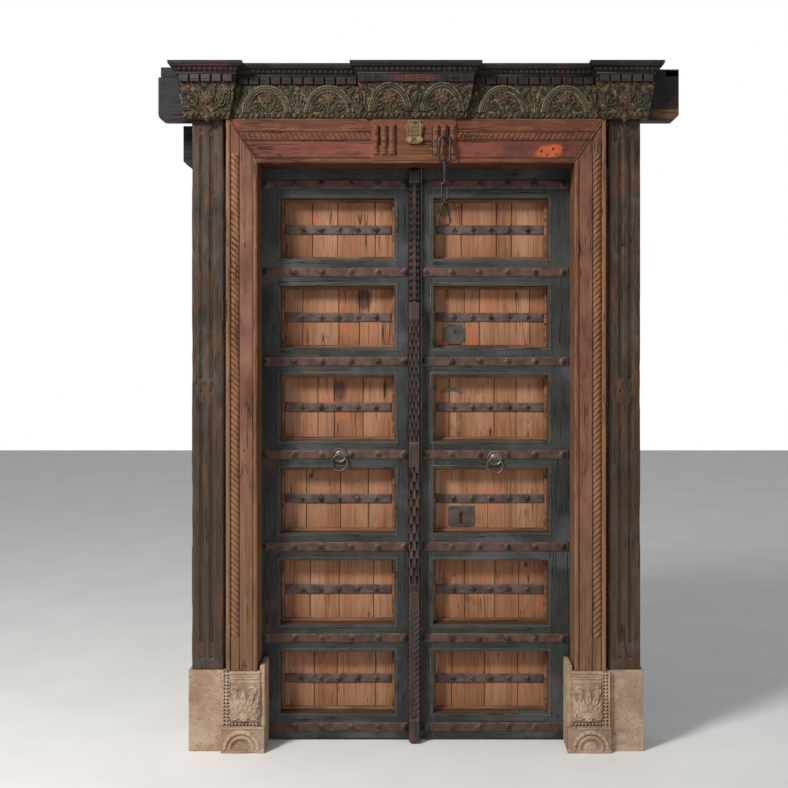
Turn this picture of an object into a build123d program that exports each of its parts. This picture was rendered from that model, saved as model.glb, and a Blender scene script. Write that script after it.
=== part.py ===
from build123d import *
from math import cos, pi, sin
import os

# Carved two-leaf timber door in its frame, on two stone bases.
# While it is built, x = 0 is the middle of the doorway, y = 0 the front face of the leaves, z = 0 the floor.
# The front faces -Y. Sizes are in millimetres.

# Doorway and frame posts
doorway_half_width = 541
soffit_height = 2010
head_rail_height = 150
stone_height = 278
jamb_width = 107
jamb_front = -130
frame_back = -2
pilaster_gap = 11
pilaster_width = 109
pilaster_front = -110
bead_rise = 4
rope_rise = 5
rope_inset = 18
rope_width = 26
rope_pitch = 20.6
rope_foot_gap = 111
rope_top_gap = 30
edge_bead_width = 13

# Flutes and drilled dots of the pilasters
flute_width = 16
flute_depth = 7
flute_inner_inset = 42
flute_spacing = 34
flute_foot_gap = 86
flute_head_gap = 56
middle_dot_height = 1230
middle_dot_gap = 38
dot_radius = 5
dot_depth = 4
top_dot_gap = 36
foot_dot_gap = 42

# Head rail: slanted leaf band, middle block with small columns, and its plaque
band_top_gap = 46
band_width = 26
band_pitch = 29
block_centre = -6
block_half_width = 146
block_rise = 6
block_foot_gap = 12
column_radius = 9
column_offsets = (75, 102, 131)
column_foot_gap = 26
column_head_gap = 20
column_cap = 9
plaque_width = 62
plaque_height = 80
plaque_head_gap = 6
plaque_thickness = 9
plaque_rib_depth = 3

# Beam over the frame
beam_left = 886
beam_right = 903
beam_front = -98
beam_thickness = 58
beam_over_dentils = 7
beam_end_radius = 24
beam_end_chamfer = 20
beam_cap_height = 25
beam_cap_length = 50

# Carved boards on the beam: two recessed bays between three corbelled blocks
bead_strip_height = 22
frieze_height = 96
bay_front = -122
block_front = -166
block_foot_front = -140
centre_block_top = 196
centre_block_foot = 171
side_block_inner = 612
side_block_foot_inner = 634
side_block_outer = 808
side_block_foot_outer = 789
relief = 7
arch_radius = 76
arch_band = 15
arch_height_share = 0.62
bay_arch_offset = 106
flower_radius = 21
small_flower_radius = 11
petal_count = 8
scroll_radius = 17
stalk_width = 9

# Crown moulding with dentils
dentil_height = 25
crown_slab = 10
crown_flare = 27
crown_flare_height = 24
fascia_height = 9
dentil_width = 21
dentil_pitch = 37
dentil_rise = 8

# Rear beam with the sockets of the top pivots
rear_foot_gap = 12
rear_depth = 90
horn_end = 818
rear_right_end = 764
horn_chamfer = 14

# Stone bases
stone_front = -138
stone_inner = 531
plinth_inner = 517
stone_split = 660
stone_outer = 778
plain_stone_front = -114
plinth_height = 88
lip_height = 18
lip_width = 16
stone_rear = 75
stone_back_gap = 3
step_height = 60
step_radius = 32
step_side = 600
lotus_outer = 64
lotus_inner = 45
lotus_height = 20
stone_relief = 5
drill_size = 8
drill_pitch = 12
drill_depth = 4
flame_count = 5
flame_length = 92
flame_width = 25
flame_foot = 124
line_count = 3
line_pitch = 11
line_depth = 3

# Leaves and their wooden pivots
leaf_thickness = 76
leaf_foot = 8
leaf_top_cover = 9
leaf_edge_gap = 1.55
meeting_line = 20
meeting_slant = 2.8
pivot_x = 550
pivot_radius = 14
pivot_clearance = 0.06
pivot_length = 38
stile_inner_left = 477
stile_inner_right = 465
meeting_inner_left = 76
meeting_inner_right = 60
notch_clearance = 3
strap_shares = (0.0194, 0.175, 0.3347, 0.4958, 0.6584, 0.8145, 0.9682)
rail_half_height = 48
recess_depth = 58
board_thickness = 16
rebate = 12
bead_width = 11
bead_height = 14

# Iron straps, studs and small plates
strap_height = 33
strap_thickness = 3
strap_end_gap = 4
panel_strap_height = 34
stud_radius = 12
stud_washer = 2
stud_dome_radius = 8
stud_dome_rise = 8
left_stud_places = (-527, -428, -331, -228, -133, -42)
right_stud_places = (34, 126, 223, 322, 418, 516)
nail_radius = 10
nail_washer = 2
nail_dome_radius = 5
nail_dome_rise = 6
left_nail_places = (-405, -338, -274, -208, -142)
right_nail_places = (134, 201, 264, 330, 396)
plate_thickness = 2.5
notched_plate_width = 75
notched_plate_height = 73
notched_plate_x = 136
notched_plate_over_strap = 98
plate_notch = 12
crescent_x = 126
crescent_under_strap = 106
crescent_width = 73
crescent_height = 22
crescent_drop = 12
key_plate_x = 161
key_plate_over_strap = 99
key_plate_width = 93
key_plate_height = 74
keyhole_x = 160
keyhole_over_strap = 93
keyhole_width = 16
keyhole_height = 42

# Ring pulls
left_rose_x = -269
left_rose_drop = 2
right_rose_x = 276
right_rose_drop = 13
rose_radius = 28
rose_thickness = 4
rose_rim = 2
rose_rim_width = 5
eye_radius = 7
eye_wire = 5
pull_radius = 27.6
pull_wire = 6.6
wire_gap = 0.9
ring_sides = 20
link_bend_sides = 8

# Cover post on the left leaf
post_left = -27.5
post_right = 15.5
post_depth = 45
post_front_inset = 5
post_foot = 8
post_head_gap = 4
plain_foot_top = 86
chevron_top = 476
low_block_foot = 484
low_block_top = 554
scale_top = 965
mid_block_top = 1048
fish_top = 1474
boss_top = 1539
rib_head_gap = 45
carving_setback = 9
rib_setback = 16
post_groove_depth = 6
post_groove_width = 9
chevron_pitch = 40
scale_pitch = 34
rib_bead_pitch = 24
rib_bead_rise = 4
post_flower_height = 512
boss_radius = 19

# Chain from the head rail
chain_y = -162
staple_over_column_foot = 62
staple_radius = 11.5
staple_wire = 7
staple_plate_height = 28
staple_plate_width = 11
staple_plate_thickness = 3
staple_shank = 6
chain_wire = 9
link_widths = (46, 30, 30)
link_lengths = (100, 95, 68)
chain_ring_radius = 14
chain_ring_wire = 7
hasp_width = 47
hasp_length = 84
hasp_wire = 8

# Worked-out heights
frame_top = soffit_height + head_rail_height
rope_foot = stone_height + rope_foot_gap
lower_flute_foot = stone_height + flute_foot_gap
lower_flute_head = middle_dot_height - middle_dot_gap
upper_flute_foot = middle_dot_height + middle_dot_gap
upper_flute_head = frame_top - flute_head_gap
top_dot_height = frame_top - top_dot_gap
foot_dot_height = stone_height + foot_dot_gap
band_top = frame_top - band_top_gap
block_foot = soffit_height + block_foot_gap
column_foot = soffit_height + column_foot_gap
column_head = frame_top - column_head_gap
plaque_head = frame_top - plaque_head_gap
plaque_foot = plaque_head - plaque_height
frieze_foot = frame_top + bead_strip_height
frieze_top = frieze_foot + frieze_height
dentil_top = frieze_top + dentil_height
flare_foot = dentil_top + fascia_height
crown_top = flare_foot + crown_flare_height + crown_slab
beam_top = dentil_top + beam_over_dentils
beam_back = beam_front + beam_thickness
rear_foot = soffit_height + rear_foot_gap
leaf_top = soffit_height + leaf_top_cover
strap_heights = [round(leaf_foot + (leaf_top - leaf_foot) * share) for share in strap_shares]
notched_plate_centre = (notched_plate_x, strap_heights[4] + notched_plate_over_strap)
crescent_centre = (crescent_x, strap_heights[4] - crescent_under_strap)
key_plate_centre = (key_plate_x, strap_heights[2] + key_plate_over_strap)
keyhole_centre = (keyhole_x, strap_heights[2] + keyhole_over_strap)
left_rose_centre = (left_rose_x, strap_heights[3] - left_rose_drop)
right_rose_centre = (right_rose_x, strap_heights[3] - right_rose_drop)
rib_top = soffit_height - post_head_gap - rib_head_gap
staple_height = column_foot + staple_over_column_foot

# Worked-out places
doorway_outer = doorway_half_width + jamb_width
pilaster_inner = doorway_outer + pilaster_gap
pilaster_outer = pilaster_inner + pilaster_width
pivot_y = leaf_thickness / 2
board_front = recess_depth
rail_faces = [(z - rail_half_height, z + rail_half_height) for z in strap_heights]
panel_spans = [(low[1], high[0]) for low, high in zip(rail_faces, rail_faces[1:])]
panel_middles = [(foot + head) / 2 for foot, head in panel_spans]
post_centre = (post_left + post_right) / 2
chain_x = block_centre + column_offsets[1]
column_front = jamb_front - block_rise - column_radius * 0.7
stone_back = frame_back - stone_back_gap
cut_over = 1


def block(x_low, x_high, y_low, y_high, z_low, z_high):
    centre = ((x_low + x_high) / 2, (y_low + y_high) / 2, (z_low + z_high) / 2)
    return Pos(*centre) * Box(abs(x_high - x_low), abs(y_high - y_low), abs(z_high - z_low))


def plate(outline, y_front, y_back):
    # A flat outline of (x, z) points made a prism between two depths.
    corners = [(x, y_back, z) for x, z in outline]
    face = Face(Wire.make_polygon(corners, close=True))
    return Solid.extrude(face, Vector(0, y_front - y_back, 0))


def bar(section, x_low, x_high):
    # A section of (y, z) points made a prism along x.
    face = Face(Wire.make_polygon([(x_low, y, z) for y, z in section], close=True))
    return Solid.extrude(face, Vector(x_high - x_low, 0, 0))


def column(section, z_low, z_high):
    # A section of (x, y) points made a prism along z.
    face = Face(Wire.make_polygon([(x, y, z_low) for x, y in section], close=True))
    return Solid.extrude(face, Vector(0, 0, z_high - z_low))


def v_cut(start, end, front, depth, width):
    # A V groove in a front face, from one (x, z) point to another.
    (x, z), (x_end, z_end) = start, end
    half = width * (depth + cut_over) / depth / 2
    corners = [(x, front - cut_over, z - half), (x, front - cut_over, z + half), (x, front + depth, z)]
    return Solid.extrude(Face(Wire.make_polygon(corners, close=True)), Vector(x_end - x, 0, z_end - z))


def prismatoid(low, high):
    # A solid of flat sides between two like polygons, given as lists of points in order.
    faces = [Face(Wire.make_polygon(ring, close=True)) for ring in (low, high)]
    count = len(low)
    for i in range(count):
        following = (i + 1) % count
        side = [low[i], low[following], high[following], high[i]]
        faces.append(Face(Wire.make_polygon(side, close=True)))
    return Solid(Shell(faces))


def frustum(centre, low_radius, high_radius, y_low, y_high, sides, turn=0.0):
    # A many-sided flat cone on a face at depth y_low that rises towards y_high.
    x, z = centre
    rings = []
    for radius, y in ((low_radius, y_low), (high_radius, y_high)):
        rings.append([(px, y, pz) for px, pz in polygon_points(x, z, radius, sides, turn)])
    return prismatoid(*rings)


def polygon_points(x, z, radius, sides, turn=0.0):
    angles = [turn + 2 * pi * i / sides for i in range(sides)]
    return [(x + radius * cos(a), z + radius * sin(a)) for a in angles]


def star_points(x, z, radius, petals, waist):
    points = []
    for i in range(2 * petals):
        reach = radius if i % 2 == 0 else radius * waist
        points.append((x + reach * cos(pi * i / petals), z + reach * sin(pi * i / petals)))
    return points


def arc_points(x, z, radius, from_deg, to_deg, steps, squash=1.0):
    angles = [(from_deg + (to_deg - from_deg) * i / steps) * pi / 180 for i in range(steps + 1)]
    return [(x + radius * cos(a), z + radius * squash * sin(a)) for a in angles]


def mirrored(part):
    return mirror(part, about=Plane.YZ)


def bent_wire(points, wire):
    # Eight-sided wire along a closed polygon of (x, z) points in the XZ plane, mitred at each corner.
    count = len(points)
    rings = []
    for i in range(count):
        before, here, after = Vector(*points[i - 1]), Vector(*points[i]), Vector(*points[(i + 1) % count])
        inward = ((before - here).normalized() + (after - here).normalized()).normalized()
        half_turn = (here - before).get_angle(after - here) / 2 * pi / 180
        ring = []
        for k in range(8):
            angle = (k + 0.5) * pi / 4
            reach = wire / 2 / cos(pi / 8)
            along = inward * (reach * cos(angle) / cos(half_turn))
            ring.append((here.X + along.X, reach * sin(angle), here.Y + along.Y))
        rings.append(ring)
    faces = []
    for i in range(count):
        ring, following = rings[i], rings[(i + 1) % count]
        for k in range(8):
            after = (k + 1) % 8
            side = [ring[k], ring[after], following[after], following[k]]
            faces.append(Face(Wire.make_polygon(side, close=True)))
    return Solid(Shell(faces))


def wire_ring(radius, wire):
    # A ring in the XZ plane about the origin.
    reach = radius / cos(pi / ring_sides)
    return bent_wire(polygon_points(0, 0, reach, ring_sides, pi / ring_sides), wire)


def wire_link(length, width, wire):
    # An oval link in the XZ plane. Its top crown's wire is centred on the origin.
    bend = (width - wire) / 2
    straight = length - width
    reach = bend / cos(pi / link_bend_sides / 2)
    step = 180 / link_bend_sides
    top = arc_points(0, -bend, reach, step / 2, 180 - step / 2, link_bend_sides - 1)
    low = arc_points(0, -bend - straight, reach, 180 + step / 2, 360 - step / 2, link_bend_sides - 1)
    return bent_wire(top + low, wire)


def jamb_section():
    # Outline of the left jamb seen from above: inner bead, flat, rope bed and outer bead.
    inner, outer = -doorway_half_width, -doorway_outer
    rope_outer = outer + rope_inset
    rope_inner = rope_outer + rope_width
    bead_inner = inner - edge_bead_width
    step = bead_rise / 2
    return [
        (inner, frame_back),
        (outer, frame_back),
        (outer, jamb_front + bead_rise),
        (outer + step, jamb_front),
        (outer + edge_bead_width - step, jamb_front),
        (outer + edge_bead_width, jamb_front + bead_rise),
        (rope_outer, jamb_front + bead_rise),
        (rope_inner, jamb_front + bead_rise),
        (rope_inner + step, jamb_front + step),
        (bead_inner - bead_rise, jamb_front + step),
        (bead_inner, jamb_front + bead_rise),
        (bead_inner + step, jamb_front),
        (inner - step, jamb_front),
        (inner, jamb_front + bead_rise),
    ]


def rope_strip(x_low, x_high, z_low, z_high):
    # A raised strip along z, cut into slanted strands.
    base, top = jamb_front + bead_rise, jamb_front - rope_rise
    shoulder = (x_high - x_low) / 4
    section = [(x_low, base), (x_low, base - 2), (x_low + shoulder, top), (x_high - shoulder, top),
               (x_high, base - 2), (x_high, base)]
    strip = column(section, z_low, z_high)
    depth = base - top - cut_over
    count = int((z_high - z_low) / rope_pitch) + 1
    cuts = []
    for i in range(count):
        z = z_low + i * rope_pitch
        cuts.append(v_cut((x_low - cut_over, z), (x_high + cut_over, z + rope_pitch), top, depth, rope_pitch / 2))
    return strip - cuts


def jamb_left():
    post = column(jamb_section(), stone_height, frame_top)
    rope_low = -doorway_outer + rope_inset
    post += rope_strip(rope_low, rope_low + rope_width, rope_foot, soffit_height + rope_top_gap)
    mitre = [
        (-doorway_outer, frame_top),
        (-doorway_outer, frame_top + cut_over),
        (-doorway_half_width + cut_over, frame_top + cut_over),
        (-doorway_half_width + cut_over, soffit_height),
        (-doorway_half_width, soffit_height),
    ]
    return post - plate(mitre, jamb_front - 2 * rope_rise, frame_back + cut_over)


def pilaster_left():
    x_low, x_high = -pilaster_outer, -pilaster_inner
    post = block(x_low, x_high, pilaster_front, frame_back, stone_height, frame_top)
    outer_flute = x_high - flute_inner_inset - flute_spacing
    flutes = [outer_flute, outer_flute + flute_spacing]
    cuts = []
    for x in flutes:
        for foot, head in ((upper_flute_foot, upper_flute_head), (lower_flute_foot, lower_flute_head)):
            ends = arc_points(x, head - flute_width / 2, flute_width / 2, 0, 180, 6)
            ends += arc_points(x, foot + flute_width / 2, flute_width / 2, 180, 360, 6)
            cuts.append(plate(ends, pilaster_front - cut_over, pilaster_front + flute_depth))
    dots = [(x, z) for x in flutes for z in (top_dot_height, middle_dot_height, foot_dot_height)]
    dots.append((flutes[1] + flute_spacing * 0.7, middle_dot_height))
    for x, z in dots:
        outline = polygon_points(x, z, dot_radius, 8)
        cuts.append(plate(outline, pilaster_front - cut_over, pilaster_front + dot_depth))
    return post - cuts


def leaf_band(x_low, x_high, lean):
    # Slanted leaves between two x places, leaning one way or the other.
    base, top = jamb_front, jamb_front - rope_rise
    foot = band_top - band_width
    middle = (foot + band_top) / 2
    section = [(base, foot), (top, foot + rope_rise), (top, middle), (top, band_top - rope_rise), (base, band_top)]
    strip = bar(section, x_low, x_high)
    cuts = []
    count = int((x_high - x_low) / band_pitch)
    for i in range(1, count + 1):
        x = x_low + i * band_pitch - band_pitch / 2
        run = lean * band_width / 2
        cuts.append(upright_cut(x - run, foot - cut_over, x + run, band_top + cut_over, top, rope_rise - 1, band_pitch / 3))
    return strip - cuts


def upright_cut(x, z, x_end, z_end, front, depth, width):
    # A V groove that runs mostly upwards, so its mouth is measured along x.
    half = width * (depth + cut_over) / depth / 2
    corners = [(x - half, front - cut_over, z), (x + half, front - cut_over, z), (x, front + depth, z)]
    return Solid.extrude(Face(Wire.make_polygon(corners, close=True)), Vector(x_end - x, 0, z_end - z))


def small_column(x):
    front = jamb_front - block_rise
    shaft = column([(x - column_radius, front), (x - column_radius * 0.7, front - column_radius * 0.7),
                    (x + column_radius * 0.7, front - column_radius * 0.7), (x + column_radius, front)],
                   column_foot, column_head)
    reach = column_radius + 3
    foot = block(x - reach, x + reach, front - column_radius, front, column_foot, column_foot + column_cap)
    head = block(x - reach, x + reach, front - column_radius, front, column_head - column_cap, column_head)
    return shaft + foot + head


def head_rail():
    outline = [(-doorway_outer, frame_top), (-doorway_half_width, soffit_height),
               (doorway_half_width, soffit_height), (doorway_outer, frame_top)]
    rail = plate(outline, jamb_front, frame_back)
    block_low, block_high = block_centre - block_half_width, block_centre + block_half_width
    band_end = doorway_half_width + (band_top - soffit_height - band_width) * 0.7
    rail += block(block_low, block_high, jamb_front - block_rise, jamb_front, block_foot, frame_top)
    rail += leaf_band(-band_end, block_low, -1)
    rail += leaf_band(block_high, band_end, 1)
    for offset in column_offsets:
        for side in (-1, 1):
            rail += small_column(block_centre + side * offset)
    return rail


def head_plaque():
    front = jamb_front - block_rise - plaque_thickness
    half = plaque_width / 2
    middle = (plaque_foot + plaque_head) / 2
    outline = [
        (block_centre - half * 0.55, plaque_foot), (block_centre + half * 0.55, plaque_foot),
        (block_centre + half * 0.45, plaque_foot + 12), (block_centre + half, middle),
        (block_centre + half, middle + 14), (block_centre + half * 0.5, plaque_head - 10),
        (block_centre + half * 0.5, plaque_head), (block_centre - half * 0.5, plaque_head),
        (block_centre - half * 0.5, plaque_head - 10), (block_centre - half, middle + 14),
        (block_centre - half, middle), (block_centre - half * 0.45, plaque_foot + 12),
    ]
    body = plate(outline, front, jamb_front - block_rise)
    cuts = []
    for i in (-2, -1, 0, 1, 2):
        x = block_centre + i * half / 3
        cuts.append(upright_cut(x, plaque_foot - 1, x, plaque_head + 1, front, plaque_rib_depth, half / 4))
    return body - cuts


def lintel_beam():
    low, high = -beam_left, beam_right
    left_round = arc_points(low + beam_end_radius, frame_top + beam_end_radius, beam_end_radius, 270, 180, 4)
    outline = left_round + [
        (low, beam_top), (high, beam_top),
        (high, frame_top + beam_end_chamfer), (high - beam_end_chamfer, frame_top),
    ]
    beam = plate(outline, beam_front, beam_back)
    beam += block(high - beam_cap_length, high, beam_front, beam_back, beam_top, beam_top + beam_cap_height)
    return beam


def arch(x, z, radius, squash, front):
    # A leafy half-round band with saw-toothed outer edge.
    outer = arc_points(x, z, radius, 0, 180, 10, squash)
    toothed = []
    for i, (px, pz) in enumerate(outer):
        reach = 1.0 if i % 2 == 0 else 0.9
        toothed.append((x + (px - x) * reach, z + (pz - z) * reach))
    inner = arc_points(x, z, radius - arch_band, 180, 0, 8, squash)
    return plate(toothed + inner, front - relief, front + cut_over)


def flower(x, z, radius, front):
    petals = plate(star_points(x, z, radius, petal_count, 0.62), front - relief * 0.6, front + cut_over)
    return petals + frustum((x, z), radius * 0.5, radius * 0.3, front - relief * 0.6, front - relief, 8)


def fan(x, z, height, front):
    # Upright stalks that spread from one foot.
    stalks = []
    for lean in (-1, 0, 1):
        top = x + lean * stalk_width * 1.5
        outline = [(x + lean * 4 - 3, z), (x + lean * 4 + 3, z), (top + stalk_width / 2, z + height * 0.85),
                   (top, z + height), (top - stalk_width / 2, z + height * 0.85)]
        stalks.append(plate(outline, front - relief, front + cut_over))
    return stalks


def frieze_bay_left():
    x_low, x_high = -side_block_inner, -centre_block_top
    board = block(x_low, x_high, bay_front, beam_front, frame_top, dentil_top)
    middle = (x_low + x_high) / 2
    height = frieze_top - frieze_foot
    pieces = [block(x_low, x_high, bay_front - relief * 0.6, bay_front + cut_over, frame_top + 4, frieze_foot - 4)]
    for side in (-1, 1):
        x = middle + side * bay_arch_offset
        pieces.append(arch(x, frieze_foot + 6, arch_radius, height / arch_radius * arch_height_share * 1.5, bay_front))
        pieces.append(flower(x, frieze_foot + height * 0.5, flower_radius, bay_front))
        for turn in (-1, 1):
            pieces.append(flower(x + turn * arch_radius * 0.52, frieze_foot + scroll_radius, scroll_radius * 0.8, bay_front))
    pieces += fan(middle, frieze_foot, height * 0.7, bay_front)
    pieces.append(flower(middle, frieze_foot + height * 0.84, small_flower_radius, bay_front))
    return board + pieces


def corbel(foot_low, foot_high, top_low, top_high):
    # A block that leans out to the front and sides as it rises.
    rings = []
    for x_low, x_high, y, z in ((foot_low, foot_high, block_foot_front, frame_top),
                                (top_low, top_high, block_front, frieze_top)):
        rings.append([(x_low, beam_front, z), (x_high, beam_front, z), (x_high, y, z), (x_low, y, z)])
    return prismatoid(*rings)


def corbel_front(z):
    share = (z - frame_top) / (frieze_top - frame_top)
    return block_foot_front + (block_front - block_foot_front) * share


def frieze_block_centre():
    body = corbel(-centre_block_foot, centre_block_foot, -centre_block_top, centre_block_top)
    body += block(-centre_block_top, centre_block_top, block_front, beam_front, frieze_top, dentil_top)
    height = frieze_top - frieze_foot
    front = corbel_front(frieze_foot + height * 0.5)
    pieces = []
    for side in (-1, 1):
        x = side * centre_block_foot * 0.52
        radius = centre_block_foot * 0.44
        pieces.append(arch(x, frieze_foot + 6, radius, height * arch_height_share * 1.33 / radius, front))
        pieces.append(flower(x, frieze_foot + height * 0.55, flower_radius, front))
    pieces += fan(0, frieze_foot, height * 0.7, front)
    pieces.append(flower(0, frieze_foot + height * 0.82, small_flower_radius, front))
    return body + pieces


def frieze_block_left():
    body = corbel(-side_block_foot_outer, -side_block_foot_inner, -side_block_outer, -side_block_inner)
    body += block(-side_block_outer, -side_block_inner, block_front, beam_front, frieze_top, dentil_top)
    height = frieze_top - frieze_foot
    front = corbel_front(frieze_foot + height * 0.5)
    middle = -(side_block_foot_inner + side_block_foot_outer) / 2
    pieces = [flower(middle, frieze_foot + height * 0.5, flower_radius, front)]
    for side in (-1, 1):
        x = middle + side * arch_radius * 0.62
        radius = arch_radius * 0.4
        pieces.append(arch(x, frieze_foot + 6, radius, height * arch_height_share * 0.72 / radius, front))
        pieces.append(flower(x, frieze_foot + height * 0.3, scroll_radius * 0.7, front))
    return body + pieces


def crown_run(x_low, x_high, front, returned):
    # One stretch of the crown: dentil course, fascia, flare and top slab, with its ends returned or plain.
    side = crown_flare if returned else 0
    top = crown_top - crown_slab
    steps = [(0, dentil_top), (3, dentil_top), (3, flare_foot)]
    steps += [(crown_flare * s, flare_foot + crown_flare_height * t) for s, t in ((0.3, 0.2), (0.4, 0.5), (0.85, 0.75))]
    steps += [(crown_flare - 3, top), (crown_flare, top), (crown_flare, crown_top)]
    section = [(front - reach, z) for reach, z in steps]
    section += [(beam_back, crown_top), (beam_back, beam_top), (beam_front, beam_top), (beam_front, dentil_top)]
    run = bar(section, x_low - side, x_high + side)
    if returned:
        outline = [(x_low - reach, z) for reach, z in steps]
        outline += [(x_high + reach, z) for reach, z in reversed(steps)]
        run = run & plate(outline, front - crown_flare - cut_over, beam_back + cut_over)
    return run


def dentils(x_low, x_high, front):
    span = x_high - x_low
    count = int((span + dentil_pitch - dentil_width) / dentil_pitch)
    start = (x_low + x_high) / 2 - (count - 1) * dentil_pitch / 2
    teeth = []
    for i in range(count):
        x = start + i * dentil_pitch
        teeth.append(block(x - dentil_width / 2, x + dentil_width / 2, front - dentil_rise, front, frieze_top, dentil_top))
    return teeth


def cornice():
    bay_face = bay_front
    cap_face = block_front
    left = crown_run(-side_block_outer, -side_block_inner, cap_face, True)
    centre = crown_run(-centre_block_top, centre_block_top, cap_face, True)
    right = crown_run(side_block_inner, side_block_outer, cap_face, True)
    bays = crown_run(-side_block_inner, side_block_inner, bay_face, False)
    teeth = dentils(-side_block_inner, -centre_block_top, bay_face)
    teeth += dentils(centre_block_top, side_block_inner, bay_face)
    teeth += dentils(-side_block_outer, -side_block_inner, cap_face)
    teeth += dentils(-centre_block_top, centre_block_top, cap_face)
    teeth += dentils(side_block_inner, side_block_outer, cap_face)
    crown = bays + [left, centre, right]
    return crown + teeth - block(beam_right - beam_cap_length, beam_right + 1, beam_front, beam_back + 1,
                                 beam_top, crown_top + 1)


def pivot_lintel():
    low, high = -horn_end, rear_right_end
    outline = [(low + horn_chamfer, rear_foot), (high, rear_foot), (high, frame_top), (low, frame_top),
               (low, rear_foot + horn_chamfer)]
    beam = plate(outline, frame_back, rear_depth)
    sockets = []
    for side in (-1, 1):
        hole = Cylinder(pivot_radius + pivot_clearance, pivot_length + 4, align=(Align.CENTER, Align.CENTER, Align.MIN))
        sockets.append(Pos(side * pivot_x, pivot_y, rear_foot) * hole)
    return beam - sockets


def stone_base_left():
    carved = block(-stone_split, -stone_inner, stone_front, stone_back, 0, stone_height)
    plinth = block(-stone_split - 4, -plinth_inner, stone_front - 3, stone_back, 0, plinth_height)
    lip = block(-plinth_inner - lip_width, -plinth_inner, stone_front, stone_back, plinth_height - 1,
                stone_height + lip_height)
    plain = block(-stone_outer, -stone_split, plain_stone_front, stone_rear, 0, stone_height)
    step_box = block(-step_side, -pivot_x, stone_back, pivot_y, 0, step_height)
    boss = Pos(-pivot_x, pivot_y, 0) * Cylinder(step_radius, step_height, align=(Align.CENTER, Align.CENTER, Align.MIN))
    bridge = block(-stone_split, -step_side + cut_over, stone_back, stone_rear, 0, step_height)
    socket = Pos(-pivot_x, pivot_y, step_height - pivot_length + 2) * Cylinder(
        pivot_radius + pivot_clearance, pivot_length, align=(Align.CENTER, Align.CENTER, Align.MIN))
    return carved + [plinth, lip, plain, step_box, boss, bridge] + stone_carving() - [socket] - stone_cuts()


def stone_middle():
    return -(stone_split + stone_inner) / 2


def stone_carving():
    # Half-round lotus on the plinth and a spray of flames above it.
    x = stone_middle()
    front = stone_front - 3
    outer = arc_points(x, lotus_height, lotus_outer, 0, 180, 12)
    inner = arc_points(x, lotus_height, lotus_inner, 180, 0, 10)
    pieces = [plate(outer + inner, front - stone_relief, front + cut_over)]
    heart = arc_points(x, lotus_height, lotus_inner * 0.6, 0, 180, 8)
    pieces.append(plate(heart, front - stone_relief * 0.7, front + cut_over))
    for i in range(flame_count):
        lean = (i - (flame_count - 1) / 2) / flame_count
        foot = x + lean * 30
        tip = x + lean * 100
        length = flame_length * (1 - abs(lean) * 0.5)
        half = flame_width / 2
        middle = (foot + tip) / 2
        outline = [(foot, flame_foot), (middle + half, flame_foot + length * 0.45), (tip, flame_foot + length),
                   (middle - half, flame_foot + length * 0.5)]
        pieces.append(plate(outline, stone_front - stone_relief, stone_front + cut_over))
    return pieces


def stone_cuts():
    # Lines under the top edge and drilled triangles down the outer side and along the foot of the field.
    cuts = []
    field_low = -stone_split + 2 * drill_pitch
    for i in range(line_count):
        z = stone_height - (i + 1) * line_pitch
        cuts.append(v_cut((field_low, z), (-stone_inner - 6, z), stone_front, line_depth, line_depth))
    column_count = int((stone_height - plinth_height - drill_pitch) / drill_pitch)
    places = [(-stone_split + drill_pitch, plinth_height + (i + 1) * drill_pitch) for i in range(column_count)]
    row_count = int((stone_split - stone_inner - 2 * drill_pitch) / drill_pitch)
    places += [(-stone_split + (i + 2) * drill_pitch, plinth_height + drill_pitch) for i in range(row_count)]
    half = drill_size / 2
    for x, z in places:
        outline = [(x - half, z - half), (x + half, z - half), (x, z + half)]
        cuts.append(plate(outline, stone_front - cut_over, stone_front + drill_depth))
    return cuts


class Leaf:
    # Places of one leaf, given as x values of the doorway.
    def __init__(self, side):
        self.side = side
        self.name = "left" if side < 0 else "right"
        self.pivot = side * pivot_x
        self.hinge_inner = side * (stile_inner_left if side < 0 else stile_inner_right)
        self.meeting_inner = side * (meeting_inner_left if side < 0 else meeting_inner_right)
        self.meeting_edge = meeting_line + side * leaf_edge_gap
        self.studs = left_stud_places if side < 0 else right_stud_places
        self.nails = left_nail_places if side < 0 else right_nail_places
        self.rose = left_rose_centre if side < 0 else right_rose_centre


def board_box(leaf, span, grow=0.0):
    x_low, x_high = sorted((leaf.hinge_inner, leaf.meeting_inner))
    foot, head = span
    return block(x_low - rebate, x_high + rebate, board_front, board_front + board_thickness + grow,
                 foot - rebate, head + rebate)


def board_boxes(leaf):
    room = leaf_thickness - board_front - board_thickness + cut_over
    return [board_box(leaf, span, room) for span in panel_spans]


def pivot_stile(leaf):
    # Outer stile with a rounded edge about the pivots, and a foot cut up clear of the stone step.
    stile = block(leaf.hinge_inner, leaf.pivot, 0, leaf_thickness, leaf_foot, leaf_top)
    edge = Cylinder(leaf_thickness / 2, leaf_top - leaf_foot, align=(Align.CENTER, Align.CENTER, Align.MIN))
    stile += Pos(leaf.pivot, pivot_y, leaf_foot) * edge
    notch_top = step_height + notch_clearance
    reach = leaf.side * (leaf_thickness / 2 + 2)
    notch = block(leaf.pivot, leaf.pivot + reach, -cut_over, leaf_thickness + cut_over, 0, notch_top)
    low_align = (Align.CENTER, Align.CENTER, Align.MIN)
    notch += Pos(leaf.pivot, pivot_y, 0) * Cylinder(step_radius + notch_clearance, notch_top, align=low_align)
    stile -= notch
    pin = Cylinder(pivot_radius, pivot_length - 2, align=low_align)
    foot_pin = Pos(leaf.pivot, pivot_y, notch_top - pivot_length + 3) * pin
    head_pin = Pos(leaf.pivot, pivot_y, leaf_top) * pin
    return stile + foot_pin + head_pin - board_boxes(leaf)


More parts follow.
